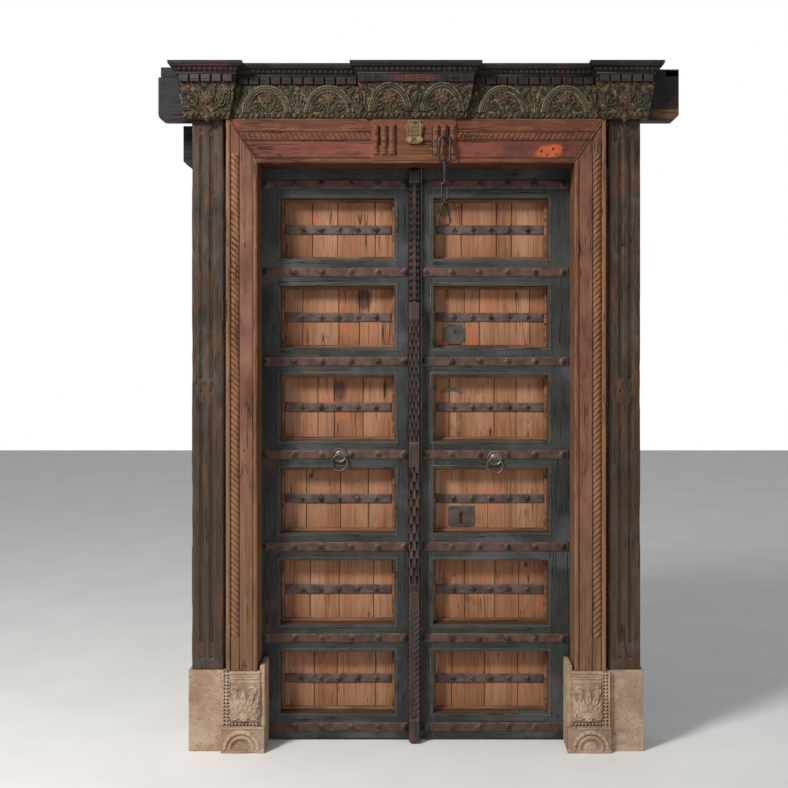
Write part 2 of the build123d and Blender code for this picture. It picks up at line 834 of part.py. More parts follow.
def meeting_stile(leaf):
    # The meeting edge is cut slantwise, so that no light falls straight through the joint.
    section = [(leaf.meeting_inner, 0), (leaf.meeting_edge, 0), (leaf.meeting_edge - meeting_slant, leaf_thickness),
               (leaf.meeting_inner, leaf_thickness)]
    return column(section, leaf_foot, leaf_top) - board_boxes(leaf)


def rails(leaf):
    pieces = []
    for i, (foot, head) in enumerate(rail_faces):
        low = leaf_foot if i == 0 else foot
        high = leaf_top if i == len(rail_faces) - 1 else head
        rail = block(leaf.hinge_inner, leaf.meeting_inner, 0, leaf_thickness, low, high)
        near = [span for span in panel_spans if span[0] == head or span[1] == foot]
        room = leaf_thickness - board_front - board_thickness + cut_over
        pieces.append(rail - [board_box(leaf, span, room) for span in near])
    return pieces


def panel(leaf, number):
    board = board_box(leaf, panel_spans[number])
    if leaf.side > 0 and number == 2:
        board -= keyhole(board_front - cut_over, board_front + board_thickness + cut_over)
    return board


def panel_bead(leaf, span):
    # A chamfered frame on the board, against the sides of the recess.
    x_low, x_high = sorted((leaf.hinge_inner, leaf.meeting_inner))
    foot, head = span
    rings = []
    for inset, depth in ((bead_width, board_front), (bead_width * 0.75, board_front - bead_height * 0.8),
                         (bead_width * 0.3, board_front - bead_height)):
        rings.append(((x_low + inset, x_high - inset, foot + inset, head - inset), depth))
    frame = block(x_low, x_high, board_front - bead_height, board_front, foot, head)
    for (low_ring, low_y), (high_ring, high_y) in zip(rings, rings[1:]):
        frame -= ring_loft(low_ring, low_y, high_ring, high_y)
    return frame


def ring_loft(low_ring, low_y, high_ring, high_y):
    rings = []
    for (x_low, x_high, z_low, z_high), y in ((low_ring, low_y), (high_ring, high_y)):
        rings.append([(x_low, y, z_low), (x_high, y, z_low), (x_high, y, z_high), (x_low, y, z_high)])
    return prismatoid(*rings)


def straps(leaf):
    outer = leaf.side * (doorway_half_width - strap_end_gap)
    inner = post_left - 1 if leaf.side < 0 else leaf.meeting_edge + 2
    half = strap_height / 2
    return [block(outer, inner, -strap_thickness, 0, z - half, z + half) for z in strap_heights]


def panel_straps(leaf):
    x_low, x_high = sorted((leaf.hinge_inner, leaf.meeting_inner))
    half = panel_strap_height / 2
    front = board_front - strap_thickness
    low, high = x_low + bead_width, x_high - bead_width
    return [block(low, high, front, board_front, z - half, z + half) for z in panel_middles]


def stud(x, z):
    face = -strap_thickness
    top = face - stud_washer
    washer = plate(polygon_points(x, z, stud_radius, 6), top, face)
    return washer + frustum((x, z), stud_dome_radius, stud_dome_radius * 0.45, top, top - stud_dome_rise, 6)


def behind_stone(x, z):
    return z < stone_height and abs(x) + stud_radius > plinth_inner


def studs(leaf):
    return [stud(x, z) for z in strap_heights for x in leaf.studs if not behind_stone(x, z)]


def panel_nail(x, z):
    face = board_front - strap_thickness
    top = face - nail_washer
    washer = plate(polygon_points(x, z, nail_radius, 4), top, face)
    return washer + frustum((x, z), nail_dome_radius, nail_dome_radius * 0.4, top, top - nail_dome_rise, 4)


def panel_nails(leaf):
    return [panel_nail(x, z) for z in panel_middles for x in leaf.nails]


def eye_height(leaf):
    return leaf.rose[1] + 2


def eye_depth():
    return -strap_thickness - rose_thickness - eye_radius


def ring_rose(leaf):
    x, z = leaf.rose
    face = -strap_thickness
    disc = frustum((x, z), rose_radius, rose_radius - 1, face, face - rose_thickness, 20)
    rim_back = face - rose_thickness
    rim = plate(polygon_points(x, z, rose_radius - 1, 20), rim_back - rose_rim, rim_back)
    rim -= plate(polygon_points(x, z, rose_radius - rose_rim_width, 20), rim_back - 2 * rose_rim, rim_back + 1)
    eye = Rot(0, 0, 90) * wire_ring(eye_radius, eye_wire)
    return disc + rim + Pos(x, eye_depth(), eye_height(leaf)) * eye


def pull_crown(leaf):
    # Centre of the ring's wire where it hangs in the eye.
    drop = eye_radius - eye_wire / 2 - pull_wire / 2 - wire_gap
    return leaf.rose[0], eye_depth(), eye_height(leaf) - drop


def ring(leaf):
    x, y, z = pull_crown(leaf)
    return Pos(x, y, z - pull_radius) * wire_ring(pull_radius, pull_wire)


def keyhole(y_front, y_back):
    x, z = keyhole_centre
    half = keyhole_width / 2
    outline = arc_points(x, z + keyhole_height / 2 - half, half, 0, 180, 6)
    outline += [(x - half * 0.6, z - keyhole_height / 2), (x + half * 0.6, z - keyhole_height / 2)]
    return plate(outline, y_front, y_back)


def notched_plate():
    x, z = notched_plate_centre
    half, tall, cut = notched_plate_width / 2, notched_plate_height / 2, plate_notch
    outline = []
    for sx, sz in ((1, 1), (-1, 1), (-1, -1), (1, -1)):
        corner = [(x + sx * half, z + sz * (tall - cut)), (x + sx * (half - cut), z + sz * (tall - cut)),
                  (x + sx * (half - cut), z + sz * tall)]
        outline += corner if sx * sz > 0 else corner[::-1]
    body = plate(outline, board_front - plate_thickness, board_front)
    face = board_front - plate_thickness
    return body + frustum((x, z + cut), nail_dome_radius, nail_dome_radius * 0.5, face, face - nail_dome_rise, 8)


def crescent_strip():
    x, z = crescent_centre
    half = crescent_width / 2
    upper = [(x - half + crescent_width * i / 8, z + crescent_drop * sin(pi * i / 8)) for i in range(9)]
    lower = [(px, pz - (crescent_height - crescent_drop)) for px, pz in reversed(upper)]
    return plate(upper + lower, board_front - plate_thickness, board_front)


def key_plate():
    x, z = key_plate_centre
    half, tall = key_plate_width / 2, key_plate_height / 2
    outline = [(x - half, z - tall + 8), (x - half + 8, z - tall), (x + half - 8, z - tall), (x + half, z - tall + 8),
               (x + half, z + tall - 5), (x + half - 5, z + tall), (x - half + 5, z + tall), (x - half, z + tall - 5)]
    body = plate(outline, board_front - plate_thickness, board_front)
    return body - keyhole(board_front - plate_thickness - 1, board_front + 1)


def post_body(z_low, z_high, setback):
    # A stretch of the cover post. Its front is narrower than its back, so that the leaf can turn past the other.
    front = -post_depth + setback
    inset = post_front_inset
    section = [(post_left, 0), (post_left, -post_depth * 0.3), (post_left + inset, front),
               (post_right - inset, front), (post_right, -post_depth * 0.3), (post_right, 0)]
    return column(section, z_low, z_high)


def slender_rib(z_low, z_high):
    front = -post_depth + rib_setback
    rib = block(post_centre - 6, post_centre + 6, front, 0, z_low, z_high)
    bed = block(post_left + 4, post_right - 4, front + 8, 0, z_low, z_high)
    rib += bed
    count = int((z_high - z_low) / rib_bead_pitch)
    beads = []
    for i in range(count):
        z = z_low + (i + 0.5) * rib_bead_pitch
        half = rib_bead_pitch * 0.3
        for side in (-1, 1):
            x = post_centre + side * 6
            outline = [(x, z - half), (x + side * 8, z - half / 2), (x + side * 8, z + half / 2), (x, z + half)]
            beads.append(plate(outline, front + 8 - rib_bead_rise, front + 9))
    return rib + beads


def post_cuts():
    # Chevrons on the lowest stretch and crossed grooves on the two scaled ones.
    cuts = []
    front = -post_depth + carving_setback
    half = (post_right - post_left) / 2
    count = int((chevron_top - plain_foot_top) / chevron_pitch)
    for i in range(count):
        z = plain_foot_top + (i + 0.3) * chevron_pitch
        for side in (-1, 1):
            edge = (post_centre + side * half, z + half)
            cuts.append(v_cut((post_centre, z), edge, front, post_groove_depth, post_groove_width))
    for foot, head in ((low_block_top, scale_top), (mid_block_top, fish_top)):
        count = int((head - foot - half * 2) / scale_pitch)
        for i in range(count + 1):
            z = foot + 6 + i * scale_pitch
            for side in (-1, 1):
                start = (post_centre - side * half, z)
                end = (post_centre + side * half, z + 1.6 * half)
                cuts.append(v_cut(start, end, front, post_groove_depth, post_groove_width))
    return cuts


def centre_post():
    head = soffit_height - post_head_gap
    carved = [(plain_foot_top, low_block_foot), (low_block_top, scale_top), (mid_block_top, fish_top)]
    body = post_body(carved[0][0], carved[0][1], carving_setback)
    body += [post_body(low, high, carving_setback) for low, high in carved[1:]]
    body -= post_cuts()
    blocks = [(post_foot, plain_foot_top), (low_block_foot, low_block_top), (scale_top, mid_block_top)]
    body += [post_body(low, high, 0) for low, high in blocks]
    boss_middle = (fish_top + boss_top) / 2
    body += post_body(fish_top, boss_top, 4)
    body += frustum((post_centre, boss_middle), boss_radius, boss_radius * 0.75, -post_depth + 4, -post_depth - 2, 8, pi / 8)
    body += slender_rib(boss_top, rib_top)
    body += post_body(rib_top, head, carving_setback)
    body += frustum((post_centre, post_flower_height), 15, 8, -post_depth, -post_depth - 5, 8)
    return body


def chain_staple():
    eye = Rot(0, 0, 90) * wire_ring(staple_radius, staple_wire)
    half = staple_plate_width / 2
    tall = staple_plate_height / 2
    base = block(chain_x - half, chain_x + half, column_front - staple_plate_thickness, column_front,
                 staple_height - tall, staple_height + tall)
    reach = staple_shank / 2
    shank = block(chain_x - reach, chain_x + reach, chain_y + staple_radius, column_front,
                  staple_height - reach, staple_height + reach)
    return Pos(chain_x, chain_y, staple_height) * eye + base + shank


def crown_heights():
    # Height of each hanging piece's top crown, from the staple down.
    height = staple_height - (staple_radius - staple_wire / 2) + chain_wire / 2 + wire_gap
    places = [height]
    lengths = list(link_lengths) + [2 * chain_ring_radius + chain_ring_wire]
    wires = [chain_wire] * len(link_lengths) + [chain_ring_wire]
    next_wires = wires[1:] + [hasp_wire]
    for length, wire, next_wire in zip(lengths, wires, next_wires):
        height -= length - wire - wire / 2 - next_wire / 2 - wire_gap
        places.append(height)
    return places


def chain_link(number):
    link = wire_link(link_lengths[number], link_widths[number], chain_wire)
    if number == 1:
        link = Rot(0, 0, 90) * link
    return Pos(chain_x, chain_y, crown_heights()[number]) * link


def chain_ring():
    loop = Rot(0, 0, 90) * wire_ring(chain_ring_radius, chain_ring_wire)
    return Pos(chain_x, chain_y, crown_heights()[3] - chain_ring_radius) * loop


def hasp_loop():
    loop = wire_link(hasp_length, hasp_width, hasp_wire)
    return Pos(chain_x, chain_y, crown_heights()[4]) * loop


# The finished origin is under the middle of the whole door.
front_face = block_front - crown_flare
shift = Pos((beam_left - beam_right) / 2, -(front_face + rear_depth) / 2, 0)


def save(name, pieces):
    solids = []
    for piece in pieces if isinstance(pieces, list) else [pieces]:
        solids += (shift * piece).solids()
    whole = solids[0] if len(solids) == 1 else Compound(children=solids)
    export_step(whole, f"parts/{name}.step")
    print(name, len(solids))


def build():
    os.makedirs("parts", exist_ok=True)
    pairs = {
        "stone_base": stone_base_left(),
        "pilaster": pilaster_left(),
        "jamb": jamb_left(),
        "frieze_bay": frieze_bay_left(),
        "frieze_block": frieze_block_left(),
    }
    for name, piece in pairs.items():
        save(f"{name}_left", piece)
        save(f"{name}_right", mirrored(piece))
    save("frieze_block_centre", frieze_block_centre())
    save("head_rail", head_rail())
    save("head_plaque", head_plaque())
    save("lintel_beam", lintel_beam())
    save("cornice", cornice())
    save("pivot_lintel", pivot_lintel())
    save("chain_staple", chain_staple())
    for leaf in (Leaf(-1), Leaf(1)):
        name = leaf.name
        save(f"{name}_pivot_stile", pivot_stile(leaf))
        save(f"{name}_meeting_stile", meeting_stile(leaf))
        save(f"{name}_rails", rails(leaf))
        for number in range(len(panel_spans)):
            save(f"{name}_panel_{number + 1}", panel(leaf, number))
        save(f"{name}_panel_beads", [panel_bead(leaf, span) for span in panel_spans])
        save(f"{name}_straps", straps(leaf))
        save(f"{name}_panel_straps", panel_straps(leaf))
        save(f"{name}_studs", studs(leaf))
        save(f"{name}_panel_nails", panel_nails(leaf))
        save(f"{name}_ring_rose", ring_rose(leaf))
        save(f"{name}_ring", ring(leaf))
        print(name, "pivot", shift * Pos(leaf.pivot, pivot_y, 0), "ring", shift * Pos(*pull_crown(leaf)))
    save("centre_post", centre_post())
    save("notched_plate", notched_plate())
    save("crescent_strip", crescent_strip())
    save("key_plate", key_plate())
    for number in range(len(link_lengths)):
        save(f"chain_link_{number + 1}", chain_link(number))
    save("chain_ring", chain_ring())
    save("hasp_loop", hasp_loop())
    for height in crown_heights():
        print("chain crown", shift * Pos(chain_x, chain_y, height))


build()
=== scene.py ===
import math
import bmesh
import bpy
import numpy as np
from mathutils import Matrix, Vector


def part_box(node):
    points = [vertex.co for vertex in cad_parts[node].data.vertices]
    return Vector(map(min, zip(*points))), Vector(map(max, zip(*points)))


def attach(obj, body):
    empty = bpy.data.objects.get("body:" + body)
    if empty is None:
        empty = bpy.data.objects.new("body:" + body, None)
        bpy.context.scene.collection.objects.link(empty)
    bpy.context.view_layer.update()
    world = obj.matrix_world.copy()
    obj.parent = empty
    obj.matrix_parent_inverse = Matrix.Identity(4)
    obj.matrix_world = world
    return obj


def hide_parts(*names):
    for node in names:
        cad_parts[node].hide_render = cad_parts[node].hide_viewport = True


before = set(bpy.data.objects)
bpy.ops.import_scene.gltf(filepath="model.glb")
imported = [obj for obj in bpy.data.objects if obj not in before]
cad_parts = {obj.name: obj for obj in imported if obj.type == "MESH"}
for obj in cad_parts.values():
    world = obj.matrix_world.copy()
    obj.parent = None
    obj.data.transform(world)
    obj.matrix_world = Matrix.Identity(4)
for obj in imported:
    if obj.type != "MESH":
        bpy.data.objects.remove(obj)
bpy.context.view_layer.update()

mm = 0.001
mergeDistance = 0.02 * mm   # joins the loose triangles of a CAD copy
sharpAngle = 24              # edges sharper than this many degrees are worn round

# the door's own places, taken from the frame
leftJamb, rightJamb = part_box("jamb_left"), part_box("jamb_right")
doorX = (leftJamb[1][0] + rightJamb[0][0]) / 2   # middle of the doorway
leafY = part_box("left_rails")[0][1]               # front face of the leaves


# random fields and small shape functions, all on arrays

def lattice(ix, iy, iz, seed):
    value = np.sin(ix * 127.1 + iy * 311.7 + iz * 74.7 + seed * 53.3) * 43758.5453
    return value - np.floor(value)


def valueNoise(x, y, z, seed=0):
    ix, iy, iz = np.floor(x), np.floor(y), np.floor(z)
    fx, fy, fz = x - ix, y - iy, z - iz
    ux, uy, uz = (f * f * (3 - 2 * f) for f in (fx, fy, fz))
    total = 0
    for dx, wx in ((0, 1 - ux), (1, ux)):
        for dy, wy in ((0, 1 - uy), (1, uy)):
            for dz, wz in ((0, 1 - uz), (1, uz)):
                total = total + wx * wy * wz * lattice(ix + dx, iy + dy, iz + dz, seed)
    return total


def roughness(x, z, size, octaves=3, seed=0):
    # wear noise from -1 to 1, with its largest feature this many metres across
    total, weight = 0, 0
    for octave in range(octaves):
        scale = 2 ** octave / size
        share = 0.5 ** octave
        total = total + share * (2 * valueNoise(x * scale, z * scale, 0 * x + octave, seed) - 1)
        weight += share
    return total / weight


def ramp(low, high, value):
    t = np.clip((value - low) / (high - low), 0, 1)
    return t * t * (3 - 2 * t)


def dome(distance, width):
    return np.sqrt(np.clip(1 - (distance / width) ** 2, 0, 1))


def turned(x, z, x0, z0, degrees):
    c, s = math.cos(math.radians(degrees)), math.sin(math.radians(degrees))
    return (x - x0) * c + (z - z0) * s, -(x - x0) * s + (z - z0) * c


# mesh makers

def newObject(name, data):
    made = bpy.data.objects.new(name, data)
    bpy.context.scene.collection.objects.link(made)
    return made


def addMesh(name, verts, faces, smoothFaces=None, marks=None, edges=()):
    mesh = bpy.data.meshes.new(name)
    mesh.from_pydata([tuple(v) for v in verts], edges, faces)
    mesh.update()
    smooth = [True] * len(faces) if smoothFaces is None else smoothFaces
    mesh.polygons.foreach_set("use_smooth", smooth)
    for key, values in (marks or {}).items():
        layer = mesh.attributes.new(key, "FLOAT", "POINT")
        layer.data.foreach_set("value", np.asarray(values, dtype=np.float32))
    return newObject(name, mesh)


def finish(piece, body, material, nodes=()):
    piece.data.materials.clear()
    piece.data.materials.append(material)
    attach(piece, body)
    if nodes:
        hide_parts(*nodes)
    return piece


def reliefBoard(name, x, z, front, back, marks=None):
    # closed board: front is a grid of depths over x and z, and the sides run straight to the back
    n, m = x.shape
    verts = np.stack([x, front, z], axis=-1).reshape(-1, 3)
    index = np.arange(n * m).reshape(n, m)
    quads = np.stack([index[:-1, :-1], index[1:, :-1], index[1:, 1:], index[:-1, 1:]], axis=-1).reshape(-1, 4)
    rim = list(index[:, 0]) + list(index[-1, 1:]) + list(index[-2::-1, -1]) + list(index[0, -2:0:-1])
    ringStart = n * m
    backRing = verts[rim].copy()
    backRing[:, 1] = back
    count = len(rim)
    faces = quads.tolist()
    sides = []
    for k in range(count):
        k2 = (k + 1) % count
        sides.append([int(rim[k]), ringStart + k, ringStart + k2, int(rim[k2])])
    faces += sides
    faces.append([ringStart + k for k in range(count)][::-1])
    smoothFaces = [True] * len(quads) + [False] * (len(sides) + 1)
    allMarks = {}
    for key, values in (marks or {}).items():
        flat = np.broadcast_to(values, x.shape).reshape(-1)
        allMarks[key] = np.concatenate([flat, np.zeros(count)])
    return addMesh(name, np.concatenate([verts, backRing]), faces, smoothFaces, allMarks)


def gridOf(xLow, xHigh, xCount, zLow, zHigh, zCount):
    return np.meshgrid(np.linspace(xLow, xHigh, xCount), np.linspace(zLow, zHigh, zCount), indexing="ij")


def facedOut(piece, merge=0.0, bevel=0.0):
    # faces turned outwards, after close vertices are merged and before edges are worn round
    bm = bmesh.new()
    bm.from_mesh(piece.data)
    if merge:
        bmesh.ops.remove_doubles(bm, verts=bm.verts, dist=merge)
    bmesh.ops.recalc_face_normals(bm, faces=bm.faces)
    if bevel:
        bmesh.ops.bevel(bm, geom=bm.edges[:], offset=bevel, segments=2, profile=0.6, affect="EDGES", clamp_overlap=True)
    bm.to_mesh(piece.data)
    bm.free()
    return piece


def markAll(piece, **marks):
    # the same mark on every vertex
    for key, value in marks.items():
        layer = piece.data.attributes.new(key, "FLOAT", "POINT")
        layer.data.foreach_set("value", [value] * len(piece.data.vertices))


def onSide(sign, x, *others):
    # arrays of the right half; for the left one x is mirrored and all turn round, so that faces still point outwards
    arrays = (x * sign, *others)
    return [values[::-1] for values in arrays] if sign < 0 else arrays


def wornCopy(node, name, bevel, cutY=None):
    # one bevelled mesh from the frame's own solid, cut off in front of cutY where that is given
    bm = bmesh.new()
    bm.from_mesh(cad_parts[node].data)
    bmesh.ops.remove_doubles(bm, verts=bm.verts, dist=mergeDistance)
    if cutY is not None:
        everything = bm.verts[:] + bm.edges[:] + bm.faces[:]
        bmesh.ops.bisect_plane(bm, geom=everything, plane_co=(0, cutY, 0), plane_no=(0, -1, 0), clear_outer=True)
        bmesh.ops.holes_fill(bm, edges=[e for e in bm.edges if len(e.link_faces) == 1])
    bmesh.ops.dissolve_limit(bm, angle_limit=math.radians(1), verts=bm.verts[:], edges=bm.edges[:])
    sharp = [e for e in bm.edges if len(e.link_faces) == 2 and e.calc_face_angle(0) > math.radians(sharpAngle)]
    if bevel:
        bmesh.ops.bevel(bm, geom=sharp, offset=bevel, segments=2, profile=0.6, affect="EDGES", clamp_overlap=True)
    bmesh.ops.triangulate(bm, faces=[f for f in bm.faces if len(f.verts) > 4])
    mesh = bpy.data.meshes.new(name)
    bm.to_mesh(mesh)
    bm.free()
    mesh.polygons.foreach_set("use_smooth", [False] * len(mesh.polygons))
    return newObject(name, mesh)


def latheMesh(name, profile, sides, petals=0, petalDepth=0.0):
    # profile of (radius, height) pairs in millimetres from the rim to the tip, turned about -Y, its back closed flat
    profile = [(radius * mm, height * mm) for radius, height in profile]
    verts, faces = [], []
    for radius, height in profile:
        for k in range(sides):
            angle = 2 * math.pi * k / sides
            reach = radius * (1 - petalDepth * (0.5 - 0.5 * math.cos(petals * angle)) * (radius / profile[0][0]) ** 2)
            verts.append((reach * math.cos(angle), -height, reach * math.sin(angle)))
    rings = len(profile)
    for i in range(rings - 1):
        for k in range(sides):
            k2 = (k + 1) % sides
            faces.append([i * sides + k, i * sides + k2, (i + 1) * sides + k2, (i + 1) * sides + k])
    tip = len(verts)
    verts.append((0, -profile[-1][1], 0))
    for k in range(sides):
        faces.append([(rings - 1) * sides + k, (rings - 1) * sides + (k + 1) % sides, tip])
    faces.append(list(range(sides))[::-1])
    return addMesh(name, verts, faces, [True] * (len(faces) - 1) + [False])


# materials

class Wire:
    def __init__(self, tree, socket=None):
        self.tree = tree
        self.socket = socket

    def node(self, kind, settings=None, inputs=None, out=0):
        made = self.tree.nodes.new(kind)
        for key, value in (settings or {}).items():
            if key == "stops":
                elements = made.color_ramp.elements
                while len(elements) < len(value):
                    elements.new(0.5)
                for element, (place, colour) in zip(elements, value):
                    element.position = place
                    element.color = colour if len(colour) == 4 else (*colour, 1)
            else:
                setattr(made, key, value)
        for key, value in (inputs or {}).items():
            if isinstance(value, Wire):
                self.tree.links.new(value.socket, made.inputs[key])
            elif value is not None:
                made.inputs[key].default_value = value
        return Wire(self.tree, made.outputs[out] if made.outputs else None)

    def math(self, operation, first, second=None):
        inputs = {0: first} if second is None else {0: first, 1: second}
        return self.node("ShaderNodeMath", {"operation": operation}, inputs)

    def __add__(self, other):
        return self.math("ADD", self, other)

    def __radd__(self, other):
        return self.math("ADD", other, self)

    def __sub__(self, other):
        return self.math("SUBTRACT", self, other)

    def __rsub__(self, other):
        return self.math("SUBTRACT", other, self)

    def __mul__(self, other):
        return self.math("MULTIPLY", self, other)

    def __rmul__(self, other):
        return self.math("MULTIPLY", other, self)

    def __truediv__(self, other):
        return self.math("DIVIDE", self, other)

    def __pow__(self, other):
        return self.math("POWER", self, other)

    def __abs__(self):
        return self.math("ABSOLUTE", self)

    def high(self, other):
        return self.math("MAXIMUM", self, other)

    def step(self, low, high):
        # smooth step from 0 at low to 1 at high
        settings = {"interpolation_type": "SMOOTHSTEP"}
        return self.node("ShaderNodeMapRange", settings, {0: self, 1: low, 2: high, 3: 0.0, 4: 1.0})

    def mixed(self, first, second):
        # colour mix with this value as its factor
        colours = {}
        for key, value in ((6, first), (7, second)):
            colours[key] = value if isinstance(value, Wire) else (*value, 1)
        return self.node("ShaderNodeMix", {"data_type": "RGBA"}, {0: self, **colours}, out=2)

    def noise(self, vector, scale, detail=4.0, distortion=0.0, rough=0.55):
        inputs = {"Vector": vector, "Scale": scale, "Detail": detail, "Distortion": distortion, "Roughness": rough}
        return self.node("ShaderNodeTexNoise", {}, inputs)

    def stretched(self, vector, scale, offset=(0, 0, 0)):
        return self.node("ShaderNodeMapping", {}, {"Vector": vector, "Scale": scale, "Location": offset})

    def part(self, axis):
        # one coordinate of a vector, 0 x, 1 y, 2 z
        return self.node("ShaderNodeSeparateXYZ", {}, {0: self}, out=axis)

    def mark(self, name):
        return self.node("ShaderNodeAttribute", {"attribute_name": name}, out=2)


def newMaterial(name):
    material = bpy.data.materials.new(name)
    material.use_nodes = True
    material.node_tree.nodes.clear()
    wire = Wire(material.node_tree)
    place = wire.node("ShaderNodeTexCoord", out=3)
    return material, wire, place


def dress(wire, colour, rough, height, depth, metallic=0.0, specular=0.5):
    bump = wire.node("ShaderNodeBump", {}, {"Strength": 1.0, "Distance": depth, "Height": height})
    inputs = {"Base Color": colour, "Roughness": rough, "Metallic": metallic, "Specular IOR Level": specular,
              "Normal": bump}
    shader = wire.node("ShaderNodeBsdfPrincipled", {}, inputs)
    wire.node("ShaderNodeOutputMaterial", {}, {"Surface": shader})


def patchMask(wire, place, spot, ragged=0.5, soft=0.35):
    # 1 inside a ragged oval round (x, z) with half width and half height, all in the door's millimetres
    x, z, halfWidth, halfHeight = spot
    across = (place.part(0) - (doorX + x * mm)) / (halfWidth * mm)
    up = (place.part(2) - z * mm) / (halfHeight * mm)
    away = (across * across + up * up) ** 0.5
    return 1 - (away + (wire.noise(place, 70, 5) - 0.5) * ragged).step(1 - soft, 1 + soft)


# how far fibres and worn patches are drawn out along the grain
grainAlong = {"x": (0.055, 1, 1), "z": (1, 1, 0.055)}
wearAlong = {"x": (0.2, 1, 1), "z": (1, 1, 0.2)}
crackColour = (0.012, 0.009, 0.008)


def edgeMask(wire, radius):
    # near 1 on corners, where the rounded normal leaves the true one
    rounded = wire.node("ShaderNodeBevel", {"samples": 4}, {"Radius": radius})
    true = wire.node("ShaderNodeNewGeometry", out=3)
    facing = wire.node("ShaderNodeVectorMath", {"operation": "DOT_PRODUCT"}, {0: rounded, 1: true}, out=1)
    return (1 - facing).step(0.01, 0.22)


def agedWood(name, look):
    # timber under worn paint, with fibres along one axis
    material, wire, place = newMaterial(name)
    along = wire.stretched(place, grainAlong[look["grain"]])
    fibre = wire.noise(along, 210, 6, 0.3)
    rings = wire.noise(along, 46, 7, 1.4)
    blotch = wire.noise(place, look.get("blotch", 5.0), 5)
    patches = wire.noise(wire.stretched(place, wearAlong[look["grain"]]), look.get("patches", 34), 8, 0.4, 0.64)
    crackField = wire.noise(along, 30, 3, 0.6)
    crack = 1 - abs(crackField - 0.5).step(0.0, look.get("crackWidth", 0.012))
    crack = crack * wire.noise(place, 6, 2).step(0.45, 0.6)
    edge = edgeMask(wire, look.get("edge", 5) * mm)
    wear = (patches + edge * look.get("edgeWear", 0.3) + (rings - 0.5) * 0.35).step(look["wearFrom"], look["wearTo"])
    bare = rings.step(0.35, 0.7).mixed(look["wood"][0], look["wood"][1])
    paint = blotch.step(0.35, 0.68).mixed(look["paint"][0], look["paint"][1])
    colour = wear.mixed(paint, bare)
    streak = fibre.step(0.50, 0.66) * look.get("streaks", 0.35)
    colour = streak.mixed(colour, look["dark"])
    dirt = wire.noise(place, 3.2, 6).step(0.5, 0.75) * look.get("dirt", 0.4)
    colour = dirt.mixed(colour, look["dark"])
    if "lowTint" in look:
        low = 1 - (place.part(2) + (blotch - 0.5) * 0.8).step(0.35, 1.35)
        colour = (low * 0.75).mixed(colour, rings.step(0.3, 0.7).mixed(*look["lowTint"]))
    if "tone" in look:
        toned = wire.mark("tone") * (patches.step(0.34, 0.58) * look["toneShare"])
        colour = toned.mixed(colour, blotch.step(0.36, 0.66).mixed(*look["tone"]))
    if "inner" in look:
        deep = (place.part(1) - leafY).step(0.005, 0.014)
        colour = (deep * 0.85).mixed(colour, (rings * 0.6 + patches * 0.4).step(0.36, 0.62).mixed(*look["inner"]))
    for tint in look.get("tints", ()):
        spread = wire.noise(place, tint[1], 5, 0.3).step(tint[2], tint[2] + 0.14)
        colour = (spread * tint[3]).mixed(colour, tint[0])
    for spot in look.get("spots", ()):
        colour = (patchMask(wire, place, spot[0]) * spot[2]).mixed(colour, spot[1])
    rub = edge * (patches.step(0.34, 0.58) * look.get("rub", 0.4))
    colour = rub.mixed(colour, look.get("rubbed", look["wood"][0]))
    # painted highlight: the light mark lightens crests and proud parts
    colour = (wire.mark("light") * fibre.step(0.3, 0.6) * 0.8).mixed(colour, look.get("light", look["wood"][0]))
    # painted shade: grooves, crevices and valleys marked on the mesh are darkened
    hollow = wire.mark("hollow")
    colour = (hollow.step(0.05, 0.85) * 0.92).mixed(colour, look["dark"])
    colour = (crack * 0.85).mixed(colour, crackColour)
    rough = 0.62 + (fibre - 0.5) * 0.3 - (1 - wear) * look.get("gloss", 0.12)
    height = fibre * 0.35 + rings * 0.5 + wear * -0.35 - crack * 1.4 + patches * 0.3
    dress(wire, colour, rough, height, look.get("bump", 1.3) * mm, specular=0.12)
    return material


def carvedPaint(name, look):
    # paint, dirt and painted shade on carving: marks on the mesh say what is leaf, flower and low ground
    material, wire, place = newMaterial(name)
    leaf, flower, relief = wire.mark("leaf"), wire.mark("flower"), wire.mark("relief")
    small = wire.noise(place, 210, 6)
    broad = wire.noise(place, 24, 6)
    ground = (broad * 0.6 + small * 0.4).step(0.47, 0.62).mixed(look["ground"][0], look["ground"][1])
    leafColour = small.step(0.4, 0.66).mixed(look["leaf"][0], look["leaf"][1])
    flowerColour = small.step(0.42, 0.62).mixed(look["flower"][0], look["flower"][1])
    colour = leaf.step(0.12, 0.4).mixed(ground, leafColour)
    colour = flower.step(0.12, 0.4).mixed(colour, flowerColour)
    drawn = wire.mark("line") * small.step(0.36, 0.6)
    colour = (drawn * look["lines"]).mixed(colour, look["lineColour"])
    # painted shade: the low ground between the carved motifs is darkened
    deep = 1 - relief.step(0.02, 0.28)
    colour = (deep * wire.noise(place, 90, 4).step(0.42, 0.6) * look["deep"]).mixed(colour, look["dark"])
    rubbed = (relief + (small - 0.5) * 0.5).step(0.78, 1.05) * look["rub"]
    colour = rubbed.mixed(colour, look["rubbed"])
    # random soot patches, with painted shade behind the dentils added from the mark
    soot = (broad + (small - 0.5) * 0.5).step(0.52, 0.68) * look["soot"]
    colour = soot.high(wire.mark("soot")).mixed(colour, look["dark"])
    height = small * 0.6 + broad * 0.5
    dress(wire, colour, 0.6 + (small - 0.5) * 0.4, height, 1.0 * mm, specular=0.14)
    return material


